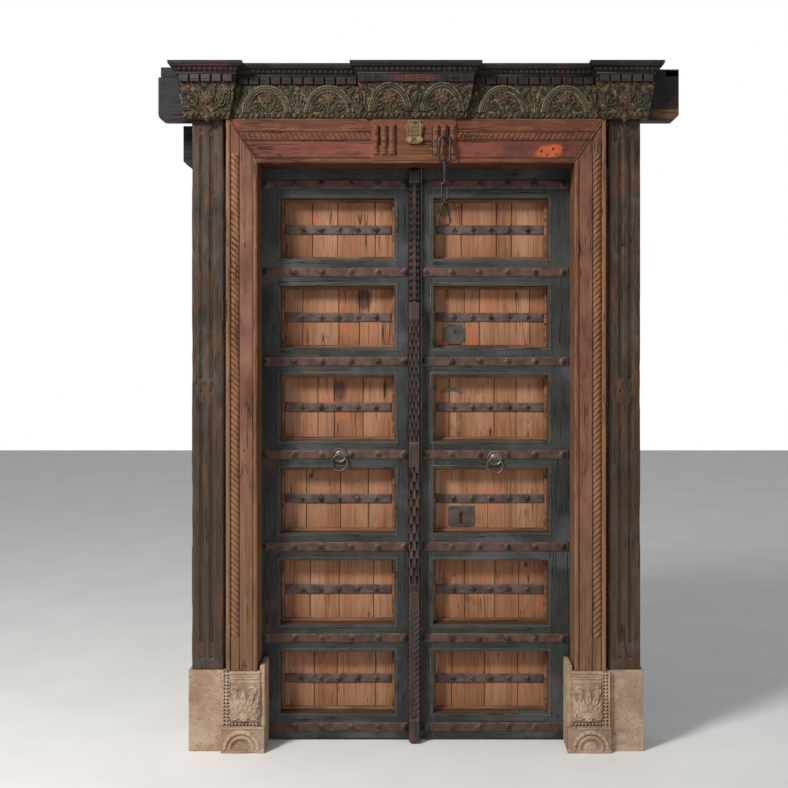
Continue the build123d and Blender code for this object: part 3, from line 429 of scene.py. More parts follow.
def boardWood(name, look):
    # bare weathered boards with upright fibres, cracks and stains
    material, wire, place = newMaterial(name)
    along = wire.stretched(place, (1, 1, 0.045))
    fibre = wire.noise(along, 240, 7, 0.2)
    rings = wire.noise(along, 46, 7, 1.8)
    broad = wire.noise(along, 9, 4, 0.8)
    knots = wire.noise(place, 8, 5)
    colour = rings.step(0.34, 0.72).mixed(look["wood"][0], look["wood"][1])
    colour = (broad.step(0.4, 0.66) * 0.7).mixed(colour, look["wood"][2])
    colour = (wire.mark("plank").step(0.2, 1.0) * 0.5).mixed(colour, look["plank"])
    colour = (fibre.step(0.50, 0.70) * 0.5).mixed(colour, look["dark"])
    red = (wire.noise(place, 10, 6, 0.4) + (rings - 0.5) * 0.3).step(0.55, 0.70)
    colour = (red * 0.5).mixed(colour, look["red"])
    crackField = wire.noise(along, 17, 2, 0.4)
    crack = (1 - abs(crackField - 0.5).step(0.0, 0.007)) * knots.step(0.50, 0.58)
    crack = crack.high(wire.mark("joint"))
    stain = (wire.noise(place, 13, 7) + (rings - 0.5) * 0.4).step(0.60, 0.76)
    colour = (stain * 0.55).mixed(colour, look["stain"])
    for spot in look["spots"]:
        colour = (patchMask(wire, place, spot[0], 0.7) * spot[2]).mixed(colour, spot[1])
    colour = (crack * 0.85).mixed(colour, (0.03, 0.016, 0.011))
    height = fibre * 0.5 + rings * 0.6 - crack * 1.8
    dress(wire, colour, 0.72 + (fibre - 0.5) * 0.25, height, 1.4 * mm, specular=0.1)
    return material


def oldIron(name, look):
    material, wire, place = newMaterial(name)
    fine = wire.noise(place, 340, 8)
    broad = wire.noise(place, 34, 6)
    colour = broad.step(0.36, 0.64).mixed(look["iron"][0], look["iron"][1])
    colour = (fine.step(0.5, 0.68) * look["rust"]).mixed(colour, look["rustColour"])
    edge = edgeMask(wire, 2.5 * mm) * look["rub"] * broad.step(0.3, 0.6)
    colour = edge.mixed(colour, look["rubbed"])
    rough = look["rough"] + (fine - 0.5) * 0.3
    dress(wire, colour, rough, fine * 0.7 + broad, 0.8 * mm, metallic=look["metal"], specular=0.22)
    return material


def sandstone(name, look):
    material, wire, place = newMaterial(name)
    grain = wire.noise(place, 520, 5)
    broad = wire.noise(place, 9, 8, 0.3, 0.62)
    pits = wire.noise(place, 110, 6, 0.3)
    scars = wire.noise(wire.stretched(place, (1, 1, 2.6)), 28, 7, 0.8)
    relief = wire.mark("relief")
    colour = broad.step(0.40, 0.60).mixed(look["stone"][0], look["stone"][1])
    colour = (grain.step(0.48, 0.66) * 0.5).mixed(colour, look["stone"][2])
    colour = (scars.step(0.55, 0.68) * 0.45).mixed(colour, look["stone"][2])
    rust = wire.noise(place, 7, 6, 0.5).step(0.54, 0.70) * look["rust"]
    colour = rust.mixed(colour, look["rustColour"])
    # painted shade: pits and the low relief take the shade colour, and the highest relief is made lighter
    colour = (pits.step(0.60, 0.70) * 0.6).mixed(colour, look["hollow"])
    colour = ((1 - relief.step(0.15, 0.75)) * 0.8).mixed(colour, look["hollow"])
    colour = ((relief + (grain - 0.5) * 0.4).step(0.95, 1.15) * 0.5).mixed(colour, look["high"])
    height = grain * 0.3 + pits * 0.6 + broad * 0.7 + scars * 0.6
    dress(wire, colour, 0.85, height, 3.2 * mm, specular=0.08)
    return material


slateLook = {"grain": "z", "paint": ((0.030, 0.034, 0.031), (0.052, 0.058, 0.055)),
             "wood": ((0.105, 0.070, 0.050), (0.060, 0.044, 0.034)), "dark": (0.007, 0.008, 0.008),
             "wearFrom": 0.56, "wearTo": 0.82, "edgeWear": 0.42, "streaks": 0.5, "dirt": 0.5, "gloss": 0.22,
             "rub": 0.75, "rubbed": (0.150, 0.135, 0.115), "inner": ((0.035, 0.022, 0.016), (0.120, 0.058, 0.030)),
             "tints": (((0.098, 0.102, 0.112), 4.0, 0.50, 0.55), ((0.100, 0.056, 0.042), 7, 0.58, 0.5),
                       ((0.040, 0.070, 0.054), 9, 0.55, 0.4))}
beadLook = {**slateLook, "grain": "x", "wearFrom": 0.44, "wearTo": 0.66, "edgeWear": 0.7, "tints": (),
            "wood": ((0.200, 0.092, 0.045), (0.110, 0.052, 0.030)),
            "inner": ((0.085, 0.038, 0.022), (0.260, 0.120, 0.058)), "rubbed": (0.300, 0.170, 0.095)}
headLook = {"grain": "x", "paint": ((0.129, 0.043, 0.026), (0.073, 0.027, 0.018)),
            "wood": ((0.198, 0.084, 0.036), (0.103, 0.043, 0.022)), "dark": (0.014, 0.007, 0.005),
            "wearFrom": 0.42, "wearTo": 0.72, "edgeWear": 0.4, "streaks": 0.5, "dirt": 0.45,
            "tone": ((0.194, 0.055, 0.046), (0.107, 0.034, 0.033)), "toneShare": 0.85,
            "light": (0.284, 0.116, 0.047), "rub": 0.45, "rubbed": (0.258, 0.120, 0.060),
            "tints": (((0.181, 0.053, 0.031), 9, 0.54, 0.5), ((0.052, 0.034, 0.039), 15, 0.60, 0.5)),
            "spots": (((454, 2050, 38, 21), (0.420, 0.088, 0.034), 0.9),
                      ((430, 2040, 26, 12), (0.380, 0.080, 0.034), 0.75),
                      ((476, 2062, 22, 12), (0.400, 0.086, 0.038), 0.75), ((428, 2050, 5, 5), (0.026, 0.013, 0.009),
                                                                           0.9),
                      ((468, 2058, 5, 5), (0.026, 0.013, 0.009), 0.9), ((447, 2038, 4, 4), (0.043, 0.017, 0.010), 0.8),
                      ((479, 2040, 4, 4), (0.043, 0.017, 0.010), 0.8))}
jambLook = {"grain": "z", "paint": ((0.175, 0.075, 0.044), (0.106, 0.046, 0.029)),
            "wood": ((0.276, 0.124, 0.057), (0.147, 0.066, 0.033)), "dark": (0.012, 0.006, 0.005),
            "wearFrom": 0.38, "wearTo": 0.68, "edgeWear": 0.45, "streaks": 0.5, "dirt": 0.4,
            "tone": ((0.225, 0.109, 0.081), (0.120, 0.053, 0.041)), "toneShare": 0.8,
            "light": (0.386, 0.179, 0.078), "rub": 0.6, "rubbed": (0.386, 0.216, 0.120),
            "tints": (((0.078, 0.051, 0.048), 13, 0.60, 0.55),),
            "lowTint": ((0.230, 0.129, 0.072), (0.129, 0.074, 0.042))}
pilasterLook = {"grain": "z", "paint": ((0.033, 0.028, 0.024), (0.059, 0.049, 0.041)),
                "wood": ((0.130, 0.061, 0.030), (0.070, 0.038, 0.024)), "dark": (0.007, 0.006, 0.005),
                "wearFrom": 0.40, "wearTo": 0.70, "edgeWear": 0.25, "streaks": 0.7, "dirt": 0.5,
                "rub": 0.25, "rubbed": (0.155, 0.096, 0.058), "tints": (((0.089, 0.078, 0.068), 12, 0.56, 0.5),),
                "lowTint": ((0.092, 0.055, 0.034), (0.052, 0.034, 0.025))}
darkLook = {"grain": "x", "paint": ((0.011, 0.010, 0.010), (0.025, 0.022, 0.021)),
            "wood": ((0.052, 0.026, 0.019), (0.031, 0.020, 0.016)), "dark": (0.003, 0.003, 0.003),
            "wearFrom": 0.56, "wearTo": 0.84, "edgeWear": 0.45, "streaks": 0.45, "dirt": 0.35,
            "rub": 0.6, "rubbed": (0.068, 0.055, 0.051),
            "tints": (((0.052, 0.020, 0.020), 14, 0.52, 0.55), ((0.018, 0.032, 0.030), 11, 0.54, 0.5)),
            "spots": (((0, 2290, 70, 13), (0.099, 0.031, 0.024), 0.55),
                      ((-712, 2291, 96, 12), (0.060, 0.047, 0.051), 0.6),
                      ((-712, 2328, 96, 5), (0.088, 0.036, 0.032), 0.6),
                      ((712, 2291, 96, 12), (0.044, 0.039, 0.042), 0.5),
                      ((870, 2185, 60, 18), (0.135, 0.068, 0.029), 0.7),
                      ((-830, 2240, 40, 60), (0.018, 0.022, 0.026), 0.5))}
postLook = {**darkLook, "grain": "z", "tints": (), "spots": (),
            "paint": ((0.020, 0.016, 0.014), (0.049, 0.041, 0.036)),
            "wood": ((0.122, 0.049, 0.029), (0.052, 0.029, 0.022)), "wearFrom": 0.44, "wearTo": 0.70,
            "rub": 0.9, "rubbed": (0.139, 0.116, 0.101), "light": (0.128, 0.093, 0.075)}

slateUpright = agedWood("slatePaintUpright", slateLook)
slateAcross = agedWood("slatePaintAcross", {**slateLook, "grain": "x"})
headWood = agedWood("redBrownHead", headLook)
jambWood = agedWood("redBrownJamb", jambLook)
pilasterWood = agedWood("greyBrownPilaster", pilasterLook)
darkWood = agedWood("blackenedBeam", darkLook)
beadWood = agedWood("wornBeads", beadLook)
postWood = agedWood("darkPost", postLook)
friezeWood = carvedPaint("friezePaint", {
    "ground": ((0.056, 0.034, 0.018), (0.344, 0.240, 0.108)), "leaf": ((0.011, 0.013, 0.010), (0.045, 0.040, 0.026)),
    "flower": ((0.040, 0.021, 0.015), (0.136, 0.078, 0.046)), "lines": 0.75, "lineColour": (0.272, 0.216, 0.100),
    "deep": 0.9, "rub": 0.5, "rubbed": (0.132, 0.100, 0.058), "soot": 0.8, "dark": (0.010, 0.008, 0.006)})
panelWood = boardWood("bareBoards", {
    "wood": ((0.340, 0.160, 0.086), (0.205, 0.090, 0.047), (0.420, 0.230, 0.138)), "dark": (0.085, 0.040, 0.025),
    "plank": (0.230, 0.098, 0.050), "red": (0.460, 0.130, 0.058), "stain": (0.085, 0.046, 0.030),
    "spots": (((-185, 1554, 27, 40), (0.050, 0.032, 0.024), 0.85), ((-273, 1226, 22, 38), (0.060, 0.040, 0.032), 0.85),
              ((-112, 1232, 5, 34), (0.020, 0.013, 0.010), 0.9), ((100, 1868, 26, 20), (0.090, 0.050, 0.034), 0.7),
              ((170, 772, 46, 30), (0.120, 0.064, 0.042), 0.5), ((255, 776, 1.2, 110), (0.035, 0.018, 0.012), 0.9),
              ((338, 776, 1.0, 110), (0.035, 0.018, 0.012), 0.9))})
strapIron = oldIron("redBrownIron", {"iron": ((0.060, 0.034, 0.028), (0.105, 0.058, 0.046)), "rust": 0.5,
                                     "rustColour": (0.130, 0.062, 0.040), "rub": 0.7, "rubbed": (0.220, 0.160, 0.130),
                                     "rough": 0.6, "metal": 0.2})
thinIron = oldIron("greyBrownIron", {"iron": ((0.060, 0.042, 0.040), (0.120, 0.084, 0.076)), "rust": 0.45,
                                     "rustColour": (0.140, 0.076, 0.052), "rub": 0.5, "rubbed": (0.220, 0.170, 0.150),
                                     "rough": 0.66, "metal": 0.15})
nailIron = oldIron("darkNails", {"iron": ((0.030, 0.026, 0.021), (0.062, 0.050, 0.038)), "rust": 0.4,
                                 "rustColour": (0.085, 0.048, 0.030), "rub": 0.9, "rubbed": (0.250, 0.185, 0.120),
                                 "rough": 0.55, "metal": 0.3})
plateIron = oldIron("platesIron", {"iron": ((0.050, 0.046, 0.043), (0.090, 0.080, 0.072)), "rust": 0.45,
                                   "rustColour": (0.110, 0.062, 0.042), "rub": 0.8, "rubbed": (0.240, 0.190, 0.150),
                                   "rough": 0.55, "metal": 0.3})
pullMetal = oldIron("rubbedPulls", {"iron": ((0.070, 0.060, 0.048), (0.130, 0.112, 0.088)), "rust": 0.6,
                                    "rustColour": (0.040, 0.032, 0.025), "rub": 0.9, "rubbed": (0.420, 0.380, 0.310),
                                    "rough": 0.38, "metal": 0.7})
chainIron = oldIron("chainIron", {"iron": ((0.024, 0.018, 0.017), (0.049, 0.038, 0.035)), "rust": 0.5,
                                  "rustColour": (0.066, 0.035, 0.025), "rub": 0.9, "rubbed": (0.168, 0.147, 0.133),
                                  "rough": 0.42, "metal": 0.6})
plaqueGilt = oldIron("wornGilt", {"iron": ((0.150, 0.095, 0.040), (0.075, 0.044, 0.024)), "rust": 0.6,
                                  "rustColour": (0.045, 0.026, 0.018), "rub": 0.9, "rubbed": (0.400, 0.310, 0.150),
                                  "rough": 0.5, "metal": 0.35})
stoneLook = {"stone": ((0.350, 0.232, 0.160), (0.490, 0.360, 0.262), (0.200, 0.132, 0.092)), "rust": 0.5,
             "rustColour": (0.270, 0.130, 0.066), "hollow": (0.095, 0.060, 0.042), "high": (0.600, 0.460, 0.350)}
stoneMaterial = sandstone("tanSandstone", stoneLook)
print("materials made")


# Geometry Nodes: one tree puts a shape on points, the other runs a wire along a path

def newTree(name, kinds):
    # an empty tree, its wire and its named inputs
    tree = bpy.data.node_groups.new(name, "GeometryNodeTree")
    for label, kind in kinds.items():
        tree.interface.new_socket(label, in_out="INPUT", socket_type=f"NodeSocket{kind}")
    tree.interface.new_socket("Geometry", in_out="OUTPUT", socket_type="NodeSocketGeometry")
    outputs = tree.nodes.new("NodeGroupInput").outputs
    return Wire(tree), {label: Wire(tree, outputs[label]) for label in kinds}


def closeTree(wire, made, material):
    real = wire.node("GeometryNodeRealizeInstances", {}, {0: made})
    dressed = wire.node("GeometryNodeSetMaterial", {}, {"Geometry": real, "Material": material})
    wire.node("NodeGroupOutput", {}, {0: dressed})
    return wire.tree


def repeatTree():
    # a shape on each point, turned about its own axis, tilted and shrunk at random
    wire, given = newTree("repeatOnPoints", {"Geometry": "Geometry", "Shape": "Object", "Turn": "Float",
                                             "Tilt": "Float",
                                             "Grow": "Float", "Seed": "Int", "Material": "Material"})
    shape = wire.node("GeometryNodeObjectInfo", {}, {"Object": given["Shape"]}, out="Geometry")
    most = wire.node("ShaderNodeCombineXYZ", {}, {"X": given["Tilt"], "Y": given["Turn"], "Z": given["Tilt"]})
    least = wire.node("ShaderNodeVectorMath", {"operation": "SCALE"}, {0: most, "Scale": -1})
    turns = wire.node("FunctionNodeRandomValue", {"data_type": "FLOAT_VECTOR"},
                      {0: least, 1: most, "Seed": given["Seed"]})
    growths = wire.node("FunctionNodeRandomValue", {}, {2: 1 - given["Grow"], 3: 1, "Seed": given["Seed"]}, out=1)
    placed = wire.node("GeometryNodeInstanceOnPoints", {}, {"Points": given["Geometry"], "Instance": shape,
                                                            "Rotation": turns, "Scale": growths})
    return closeTree(wire, placed, given["Material"])


def wireTree():
    # a round wire along a path, a little uneven in thickness
    wire, given = newTree("wireAlongPath", {"Geometry": "Geometry", "Radius": "Float", "Sides": "Int",
                                            "Wobble": "Float", "Seed": "Float", "Material": "Material"})
    curve = wire.node("GeometryNodeMeshToCurve", {}, {"Mesh": given["Geometry"]})
    uneven = wire.node("ShaderNodeTexNoise", {"noise_dimensions": "4D"}, {"Scale": 70, "W": given["Seed"]})
    swell = wire.node("ShaderNodeMath", {"operation": "MULTIPLY_ADD"}, {0: uneven, 1: given["Wobble"], 2: 1})
    held = wire.node("ShaderNodeMath", {"operation": "MULTIPLY_ADD"}, {0: given["Wobble"], 1: -0.7, 2: swell})
    sized = wire.node("GeometryNodeSetCurveRadius", {}, {"Curve": curve, "Radius": held})
    circle = wire.node("GeometryNodeCurvePrimitiveCircle", {}, {"Resolution": given["Sides"],
                                                                "Radius": given["Radius"]})
    swept = wire.node("GeometryNodeCurveToMesh", {}, {"Curve": sized, "Profile Curve": circle})
    return closeTree(wire, swept, given["Material"])


repeats, wires = repeatTree(), wireTree()


def grown(name, holder, tree, values):
    # the plain mesh that a tree makes from a holder, which is then removed
    modifier = holder.modifiers.new("grow", "NODES")
    modifier.node_group = tree
    ids = {item.name: item.identifier for item in tree.interface.items_tree if item.in_out == "INPUT"}
    for key, value in values.items():
        modifier[ids[key]] = value
    mesh = bpy.data.meshes.new_from_object(holder.evaluated_get(bpy.context.evaluated_depsgraph_get()))
    mesh.name = name
    bpy.data.objects.remove(holder)
    return newObject(name, mesh)


def repeated(name, points, shape, material, turn=0.0, tilt=0.0, grow=0.0, seed=1):
    holder = addMesh(name + "Points", points, [])
    values = {"Shape": shape, "Turn": turn, "Tilt": tilt, "Grow": grow, "Seed": seed, "Material": material}
    return grown(name, holder, repeats, values)


def wired(name, path, radius, sides, material, wobble=0.0, seed=1.0):
    # round wire along a closed path
    holder = addMesh(name + "Path", path, [], edges=[(k, (k + 1) % len(path)) for k in range(len(path))])
    values = {"Radius": radius, "Sides": sides, "Wobble": wobble, "Seed": seed, "Material": material}
    piece = facedOut(grown(name, holder, wires, values), merge=0.001 * mm)
    piece.data.polygons.foreach_set("use_smooth", [True] * len(piece.data.polygons))
    return piece


def joined(name, pieces):
    first = pieces[0]
    if len(pieces) > 1:
        with bpy.context.temp_override(active_object=first, selected_editable_objects=pieces, object=first):
            bpy.ops.object.join()
    first.name = name
    first.data.name = name
    return first


def dressedCopy(node, name, body, material, bevel):
    # a solid whose own form is kept, with worn edges
    finish(wornCopy(node, name, bevel * mm), body, material, (node,))


def looseBoxes(node):
    # lowest and highest corners of each separate solid of a node
    bm = bmesh.new()
    bm.from_mesh(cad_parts[node].data)
    bmesh.ops.remove_doubles(bm, verts=bm.verts, dist=mergeDistance)
    bm.verts.index_update()
    seen, boxes = set(), []
    for start in bm.verts:
        if start.index in seen:
            continue
        seen.add(start.index)
        stack, part = [start], []
        while stack:
            vert = stack.pop()
            part.append(tuple(vert.co))
            for edge in vert.link_edges:
                other = edge.other_vert(vert)
                if other.index not in seen:
                    seen.add(other.index)
                    stack.append(other)
        corners = np.array(part)
        boxes.append((corners.min(0), corners.max(0)))
    bm.free()
    return boxes


# carving: heights in millimetres over a grid, with marks for leaf, flower and painted line

class Carving:
    def __init__(self, x, z):
        self.x, self.z = x, z
        self.height, self.leaf, self.flower, self.line = (np.zeros_like(x) for _ in range(4))
        self.soot = 0.97 * ramp(2277, 2279, z)   # painted shade: the strip behind the dentils is darkened

    def lay(self, height, leaf=0.0, flower=0.0, line=0.0):
        on = ramp(0.0, 0.5, height - self.height)
        self.leaf = self.leaf * (1 - on) + leaf * on
        self.flower = self.flower * (1 - on) + flower * on
        self.line = self.line * (1 - on) + line * on
        self.height = np.maximum(self.height, height)

    def flowerAt(self, x0, z0, radius, rise, petals=8, turn=0.0):
        dx, dz = self.x - x0, self.z - z0
        r, angle = np.hypot(dx, dz), np.arctan2(dz, dx) + turn
        lobe = np.abs(np.cos(petals * angle / 2))
        edge = radius * (0.8 + 0.2 * lobe)
        body = rise * np.clip((edge - r) / (0.22 * radius), 0, 1) ** 0.6
        body = body * (0.55 + 0.45 * np.clip(r / radius, 0, 1)) * (0.62 + 0.38 * lobe ** 0.6)
        inner = rise * 0.9 * np.clip((0.56 * radius * (0.85 + 0.15 * lobe) - r) / (0.15 * radius), 0, 1) ** 0.6
        inner = inner * (0.8 + 0.2 * lobe)
        button = rise * 1.15 * dome(r, radius * 0.24)
        self.lay(body, flower=1.0, line=0.35 * ramp(0.75, 1, r / radius))
        self.lay(inner, flower=0.75)
        self.lay(button, flower=0.4, line=0.5)

    def leafAt(self, x0, z0, degrees, length, width, rise, curl=0.0, leaf=1.0, ribs=5, line=0.4):
        s, t = turned(self.x, self.z, x0, z0, degrees)
        s = s / length
        t = t - curl * length * s ** 2
        inside = (s > 0) & (s < 1)
        share = np.clip(s, 0, 1)
        half = width * np.sin(np.pi * share ** 0.75) ** 0.75 + 1e-6
        shape = rise * dome(t, half) ** 0.8 * (0.6 + 0.4 * share)
        shape = shape * (0.84 + 0.16 * np.cos(2 * np.pi * ribs * (share - np.abs(t) / width * 0.22)))
        vein = np.exp(-((t / (0.16 * width + 0.35)) ** 2))
        shape = shape - 0.28 * rise * vein * ramp(0, 0.3, share)
        self.lay(np.where(inside, shape, 0), leaf=leaf, line=line * vein)

    def bandAt(self, x0, z0, reachX, reachZ, width, rise, lobes=9, foot=-1e9, leaf=1.0):
        dx, dz = self.x - x0, self.z - z0
        r = np.hypot(dx / reachX, dz / reachZ)
        angle = np.arctan2(dz / reachZ, dx / reachX)
        away = (r - 1) * min(reachX, reachZ)
        half = width * (1 + 0.3 * np.abs(np.sin(lobes * angle)) * (away > 0))
        shape = rise * dome(away, half) ** 0.5
        groove = np.exp(-(((np.abs(away) - 0.42 * width) / (0.13 * width)) ** 2))
        shape = shape - 0.3 * rise * groove
        edge = ramp(0.5, 0.8, np.abs(away) / width) * (np.abs(away) < width * 1.02)
        self.lay(np.where(self.z > foot, shape, 0), leaf=leaf, line=edge)

    def spiralAt(self, x0, z0, radius, turns, width, rise, hand=1, start=0.0, leaf=1.0):
        dx, dz = (self.x - x0) * hand, self.z - z0
        r, angle = np.hypot(dx, dz), np.mod(np.arctan2(dz, dx) - math.radians(start), 2 * np.pi)
        nearest = np.full_like(self.x, 1e9)
        for k in range(int(math.ceil(turns)) + 1):
            along = angle + 2 * np.pi * k
            reach = radius * (1 - along / (2 * np.pi * turns) * 0.88)
            near = np.abs(r - reach) + 1e9 * (along > 2 * np.pi * turns)
            nearest = np.minimum(nearest, near)
        self.lay(rise * dome(nearest, width) ** 0.6, leaf=leaf, line=0.5 * np.exp(-((nearest / (0.4 * width)) ** 2)))
        self.lay(rise * 1.05 * dome(r, radius * 0.22), flower=0.8)

    def wear(self, amount, size, seed):
        chipped = ramp(0.25, 0.8, roughness(self.x, self.z, size, 3, seed))
        self.height = self.height * (1 - amount * chipped)

    def marks(self, top):
        return {"leaf": self.leaf, "flower": self.flower, "line": self.line,
                "relief": np.clip(self.height / top, 0, 1.2), "soot": self.soot}


def board(name, x, z, front, back, marks=None):
    return reliefBoard(name, doorX + x * mm, z * mm, leafY + front * mm, leafY + back * mm, marks)


sides = (("left", -1), ("right", 1))
# the door's millimetres: x from the middle of the doorway, y from the face of the leaves, z from the floor
door = {"halfWidth": 541, "soffit": 2010, "headTop": 2160, "friezeFoot": 2182, "friezeTop": 2278,
        "dentilTop": 2303, "jambOuter": 648, "jambFront": -130, "frameBack": -2, "stoneTop": 278}


# frieze boards

friezeLook = {"step": 1.9, "rise": 8.0, "archReach": 74, "archWidth": 10, "archPlace": 106, "flower": 22,
              "beadPitch": 18.4, "wear": 0.45, "blockFoot": -140, "blockLean": 26, "bayFront": -121.0, "back": -98,
              "uneven": 1.2, "bay": (196, 612), "bayFootEdges": (171.4, 633.6), "centreHalf": (171, 196),
              "side": (634, 789, 612, 808), "sideMiddle": 710}


def beadStrip(carving, low, high, pitch, knots=(), seed=1):
    x, z = carving.x, carving.z
    middle = (low + high) / 2
    lean = (z - middle) * 0.35
    index = np.floor((x - lean) / pitch)
    across = x - lean - (index + 0.5) * pitch
    tall = (high - low) * 0.42
    grow = 0.88 + 0.12 * lattice(index, 0 * index, 0 * index, seed)
    box = np.maximum(np.abs(across) / (pitch * 0.43), np.abs(z - middle) / tall)
    bead = 6.0 * np.clip(1 - (box / grow) ** 4, 0, 1) ** 0.5
    carving.lay(bead, leaf=0.7, flower=0.2, line=0.35 * lattice(index, 1 + 0 * index, 0 * index, seed))
    for knot in knots:
        carving.flowerAt(knot, middle, tall * 1.35, 7.5, petals=4)


def archMotif(carving, x0, foot, height, look, seed):
    # one leafy arch with its flower on a stem between two scrolls
    reach, width, rise = look["archReach"], look["archWidth"], look["rise"]
    for side in (-1, 1):
        for k, lean in enumerate((52, 74, 100)):
            degrees = 90 - side * (lean - 62)
            carving.leafAt(x0 + side * (reach - 12 + 9 * k), foot - 2, degrees, height * (0.52 - 0.07 * k), 7.5,
                           rise * 0.8, curl=side * 0.12)
        carving.leafAt(x0 + side * 66, foot + height * 0.62, 90 - side * 48, 38, 8, rise * 0.75, curl=side * 0.1)
        carving.leafAt(x0 + side * 40, foot + height * 0.86, 90 - side * 76, 34, 6, rise * 0.62)
        carving.spiralAt(x0 + side * 35, foot + height * 0.25, 17, 1.6, 3.4, rise * 0.7, hand=-side, start=200)
        carving.leafAt(x0 + side * 8, foot, 90 - side * 30, 26, 5, rise * 0.6)
        carving.leafAt(x0 + side * 46, foot + height * 0.42, 90 + side * 24, 32, 6, rise * 0.62, curl=side * 0.15)
    for k in range(9):
        degrees = 18 + 18 * k
        rad = math.radians(degrees)
        carving.leafAt(x0 + (reach + 4) * math.cos(rad), foot - 6 + (height * 0.92 + 4) * math.sin(rad), degrees, 19,
                       4.6,
                       rise * 0.62, ribs=2)
    for side in (-1, 1):
        for k, (dx, dz, degrees) in enumerate(((24, 0.56, 118), (50, 0.30, 60), (20, 0.28, 20), (56, 0.08, 120),
                                               (30, 0.74, 150))):
            turn = degrees if side > 0 else 180 - degrees
            carving.leafAt(x0 + side * dx, foot + height * dz, turn, 22, 5.2, rise * 0.55, curl=side * 0.2, ribs=3)
    carving.bandAt(x0, foot - 6, reach, height * 0.92, width, rise, foot=foot)
    carving.leafAt(x0, foot - 4, 90, height * 0.5, 4.0, rise * 0.6, ribs=1)
    carving.flowerAt(x0, foot + height * 0.5, look["flower"], rise, petals=8, turn=seed * 0.3)


def fanMotif(carving, x0, foot, height, rise, spread=(-2, -1, 0, 1, 2)):
    for k in spread:
        carving.leafAt(x0 + k * 2.2, foot - 3, 90 - k * 11, height * (0.74 - 0.05 * abs(k)), 4.6, rise * 0.92,
                       curl=-k * 0.05, ribs=0, line=0.95, leaf=0.8)
    carving.flowerAt(x0, foot + height * 0.83, 11.5, rise, petals=6)


def leaningGrid(footLow, footHigh, topLow, topHigh, step):
    # grid over a board that widens as it rises, with its own front plane
    low, high = door["headTop"], door["dentilTop"]
    n = int((topHigh - topLow) / step)
    m = int((high - low) / step)
    u, z = gridOf(0, 1, n, low, high, m)
    share = np.clip((z - low) / (door["friezeTop"] - low), 0, 1)
    left = footLow + (topLow - footLow) * share
    right = footHigh + (topHigh - footHigh) * share
    return left + (right - left) * u, z, friezeLook["blockFoot"] - friezeLook["blockLean"] * share


def friezeBay(side, sign):
    look = friezeLook
    low, high = look["bay"]
    x, z, _ = leaningGrid(*look["bayFootEdges"], low + 0.4, high - 0.4, look["step"])
    x, z = onSide(sign, x, z)
    carving = Carving(x, z)
    middle, foot = sign * (low + high) / 2, door["friezeFoot"]
    height = door["friezeTop"] - foot
    beadStrip(carving, door["headTop"] + 2, foot - 2, look["beadPitch"], seed=3 + sign)
    for turn in (-1, 1):
        archMotif(carving, middle + turn * look["archPlace"], foot, height, look, seed=sign * 2 + turn)
        fanMotif(carving, middle + turn * (high - low) / 2, foot, height, look["rise"])
    fanMotif(carving, middle, foot, height, look["rise"])
    carving.wear(look["wear"], 55, 11 + sign)
    front = look["bayFront"] - carving.height + look["uneven"] * roughness(x, z, 40, 3, 5 + sign)
    piece = board(f"friezeBay{side.capitalize()}", x, z, front, look["back"], carving.marks(look["rise"]))
    finish(piece, "door_frame", friezeWood, (f"frieze_bay_{side}",))


def friezeCentre():
    look = friezeLook
    footHalf, topHalf = look["centreHalf"]
    x, z, plane = leaningGrid(-footHalf, footHalf, -topHalf, topHalf, look["step"])
    carving = Carving(x, z)
    foot = door["friezeFoot"]
    height = door["friezeTop"] - foot
    beadStrip(carving, door["headTop"] + 2, foot - 2, look["beadPitch"], knots=(0,), seed=8)
    for turn in (-1, 1):
        small = {**look, "archReach": 64, "flower": 24}
        archMotif(carving, turn * 89, foot, height, small, seed=turn)
        fanMotif(carving, turn * 186, foot, height, look["rise"], spread=(-1, 0, 1))
    fanMotif(carving, 0, foot, height, look["rise"])
    carving.wear(look["wear"], 55, 21)
    front = plane + 2 - carving.height + look["uneven"] * roughness(x, z, 40, 3, 7)
    piece = board("friezeCentre", x, z, front, look["back"], carving.marks(look["rise"]))
    finish(piece, "door_frame", friezeWood, ("frieze_block_centre",))


knotSizes = {"profile": ((18, -14), (18, 2), (15, 6), (8, 7), (7, 10), (2, 11)), "y": -137, "z": 2165}
knot = latheMesh("knotShape", knotSizes["profile"], 20, 4, 0.3)


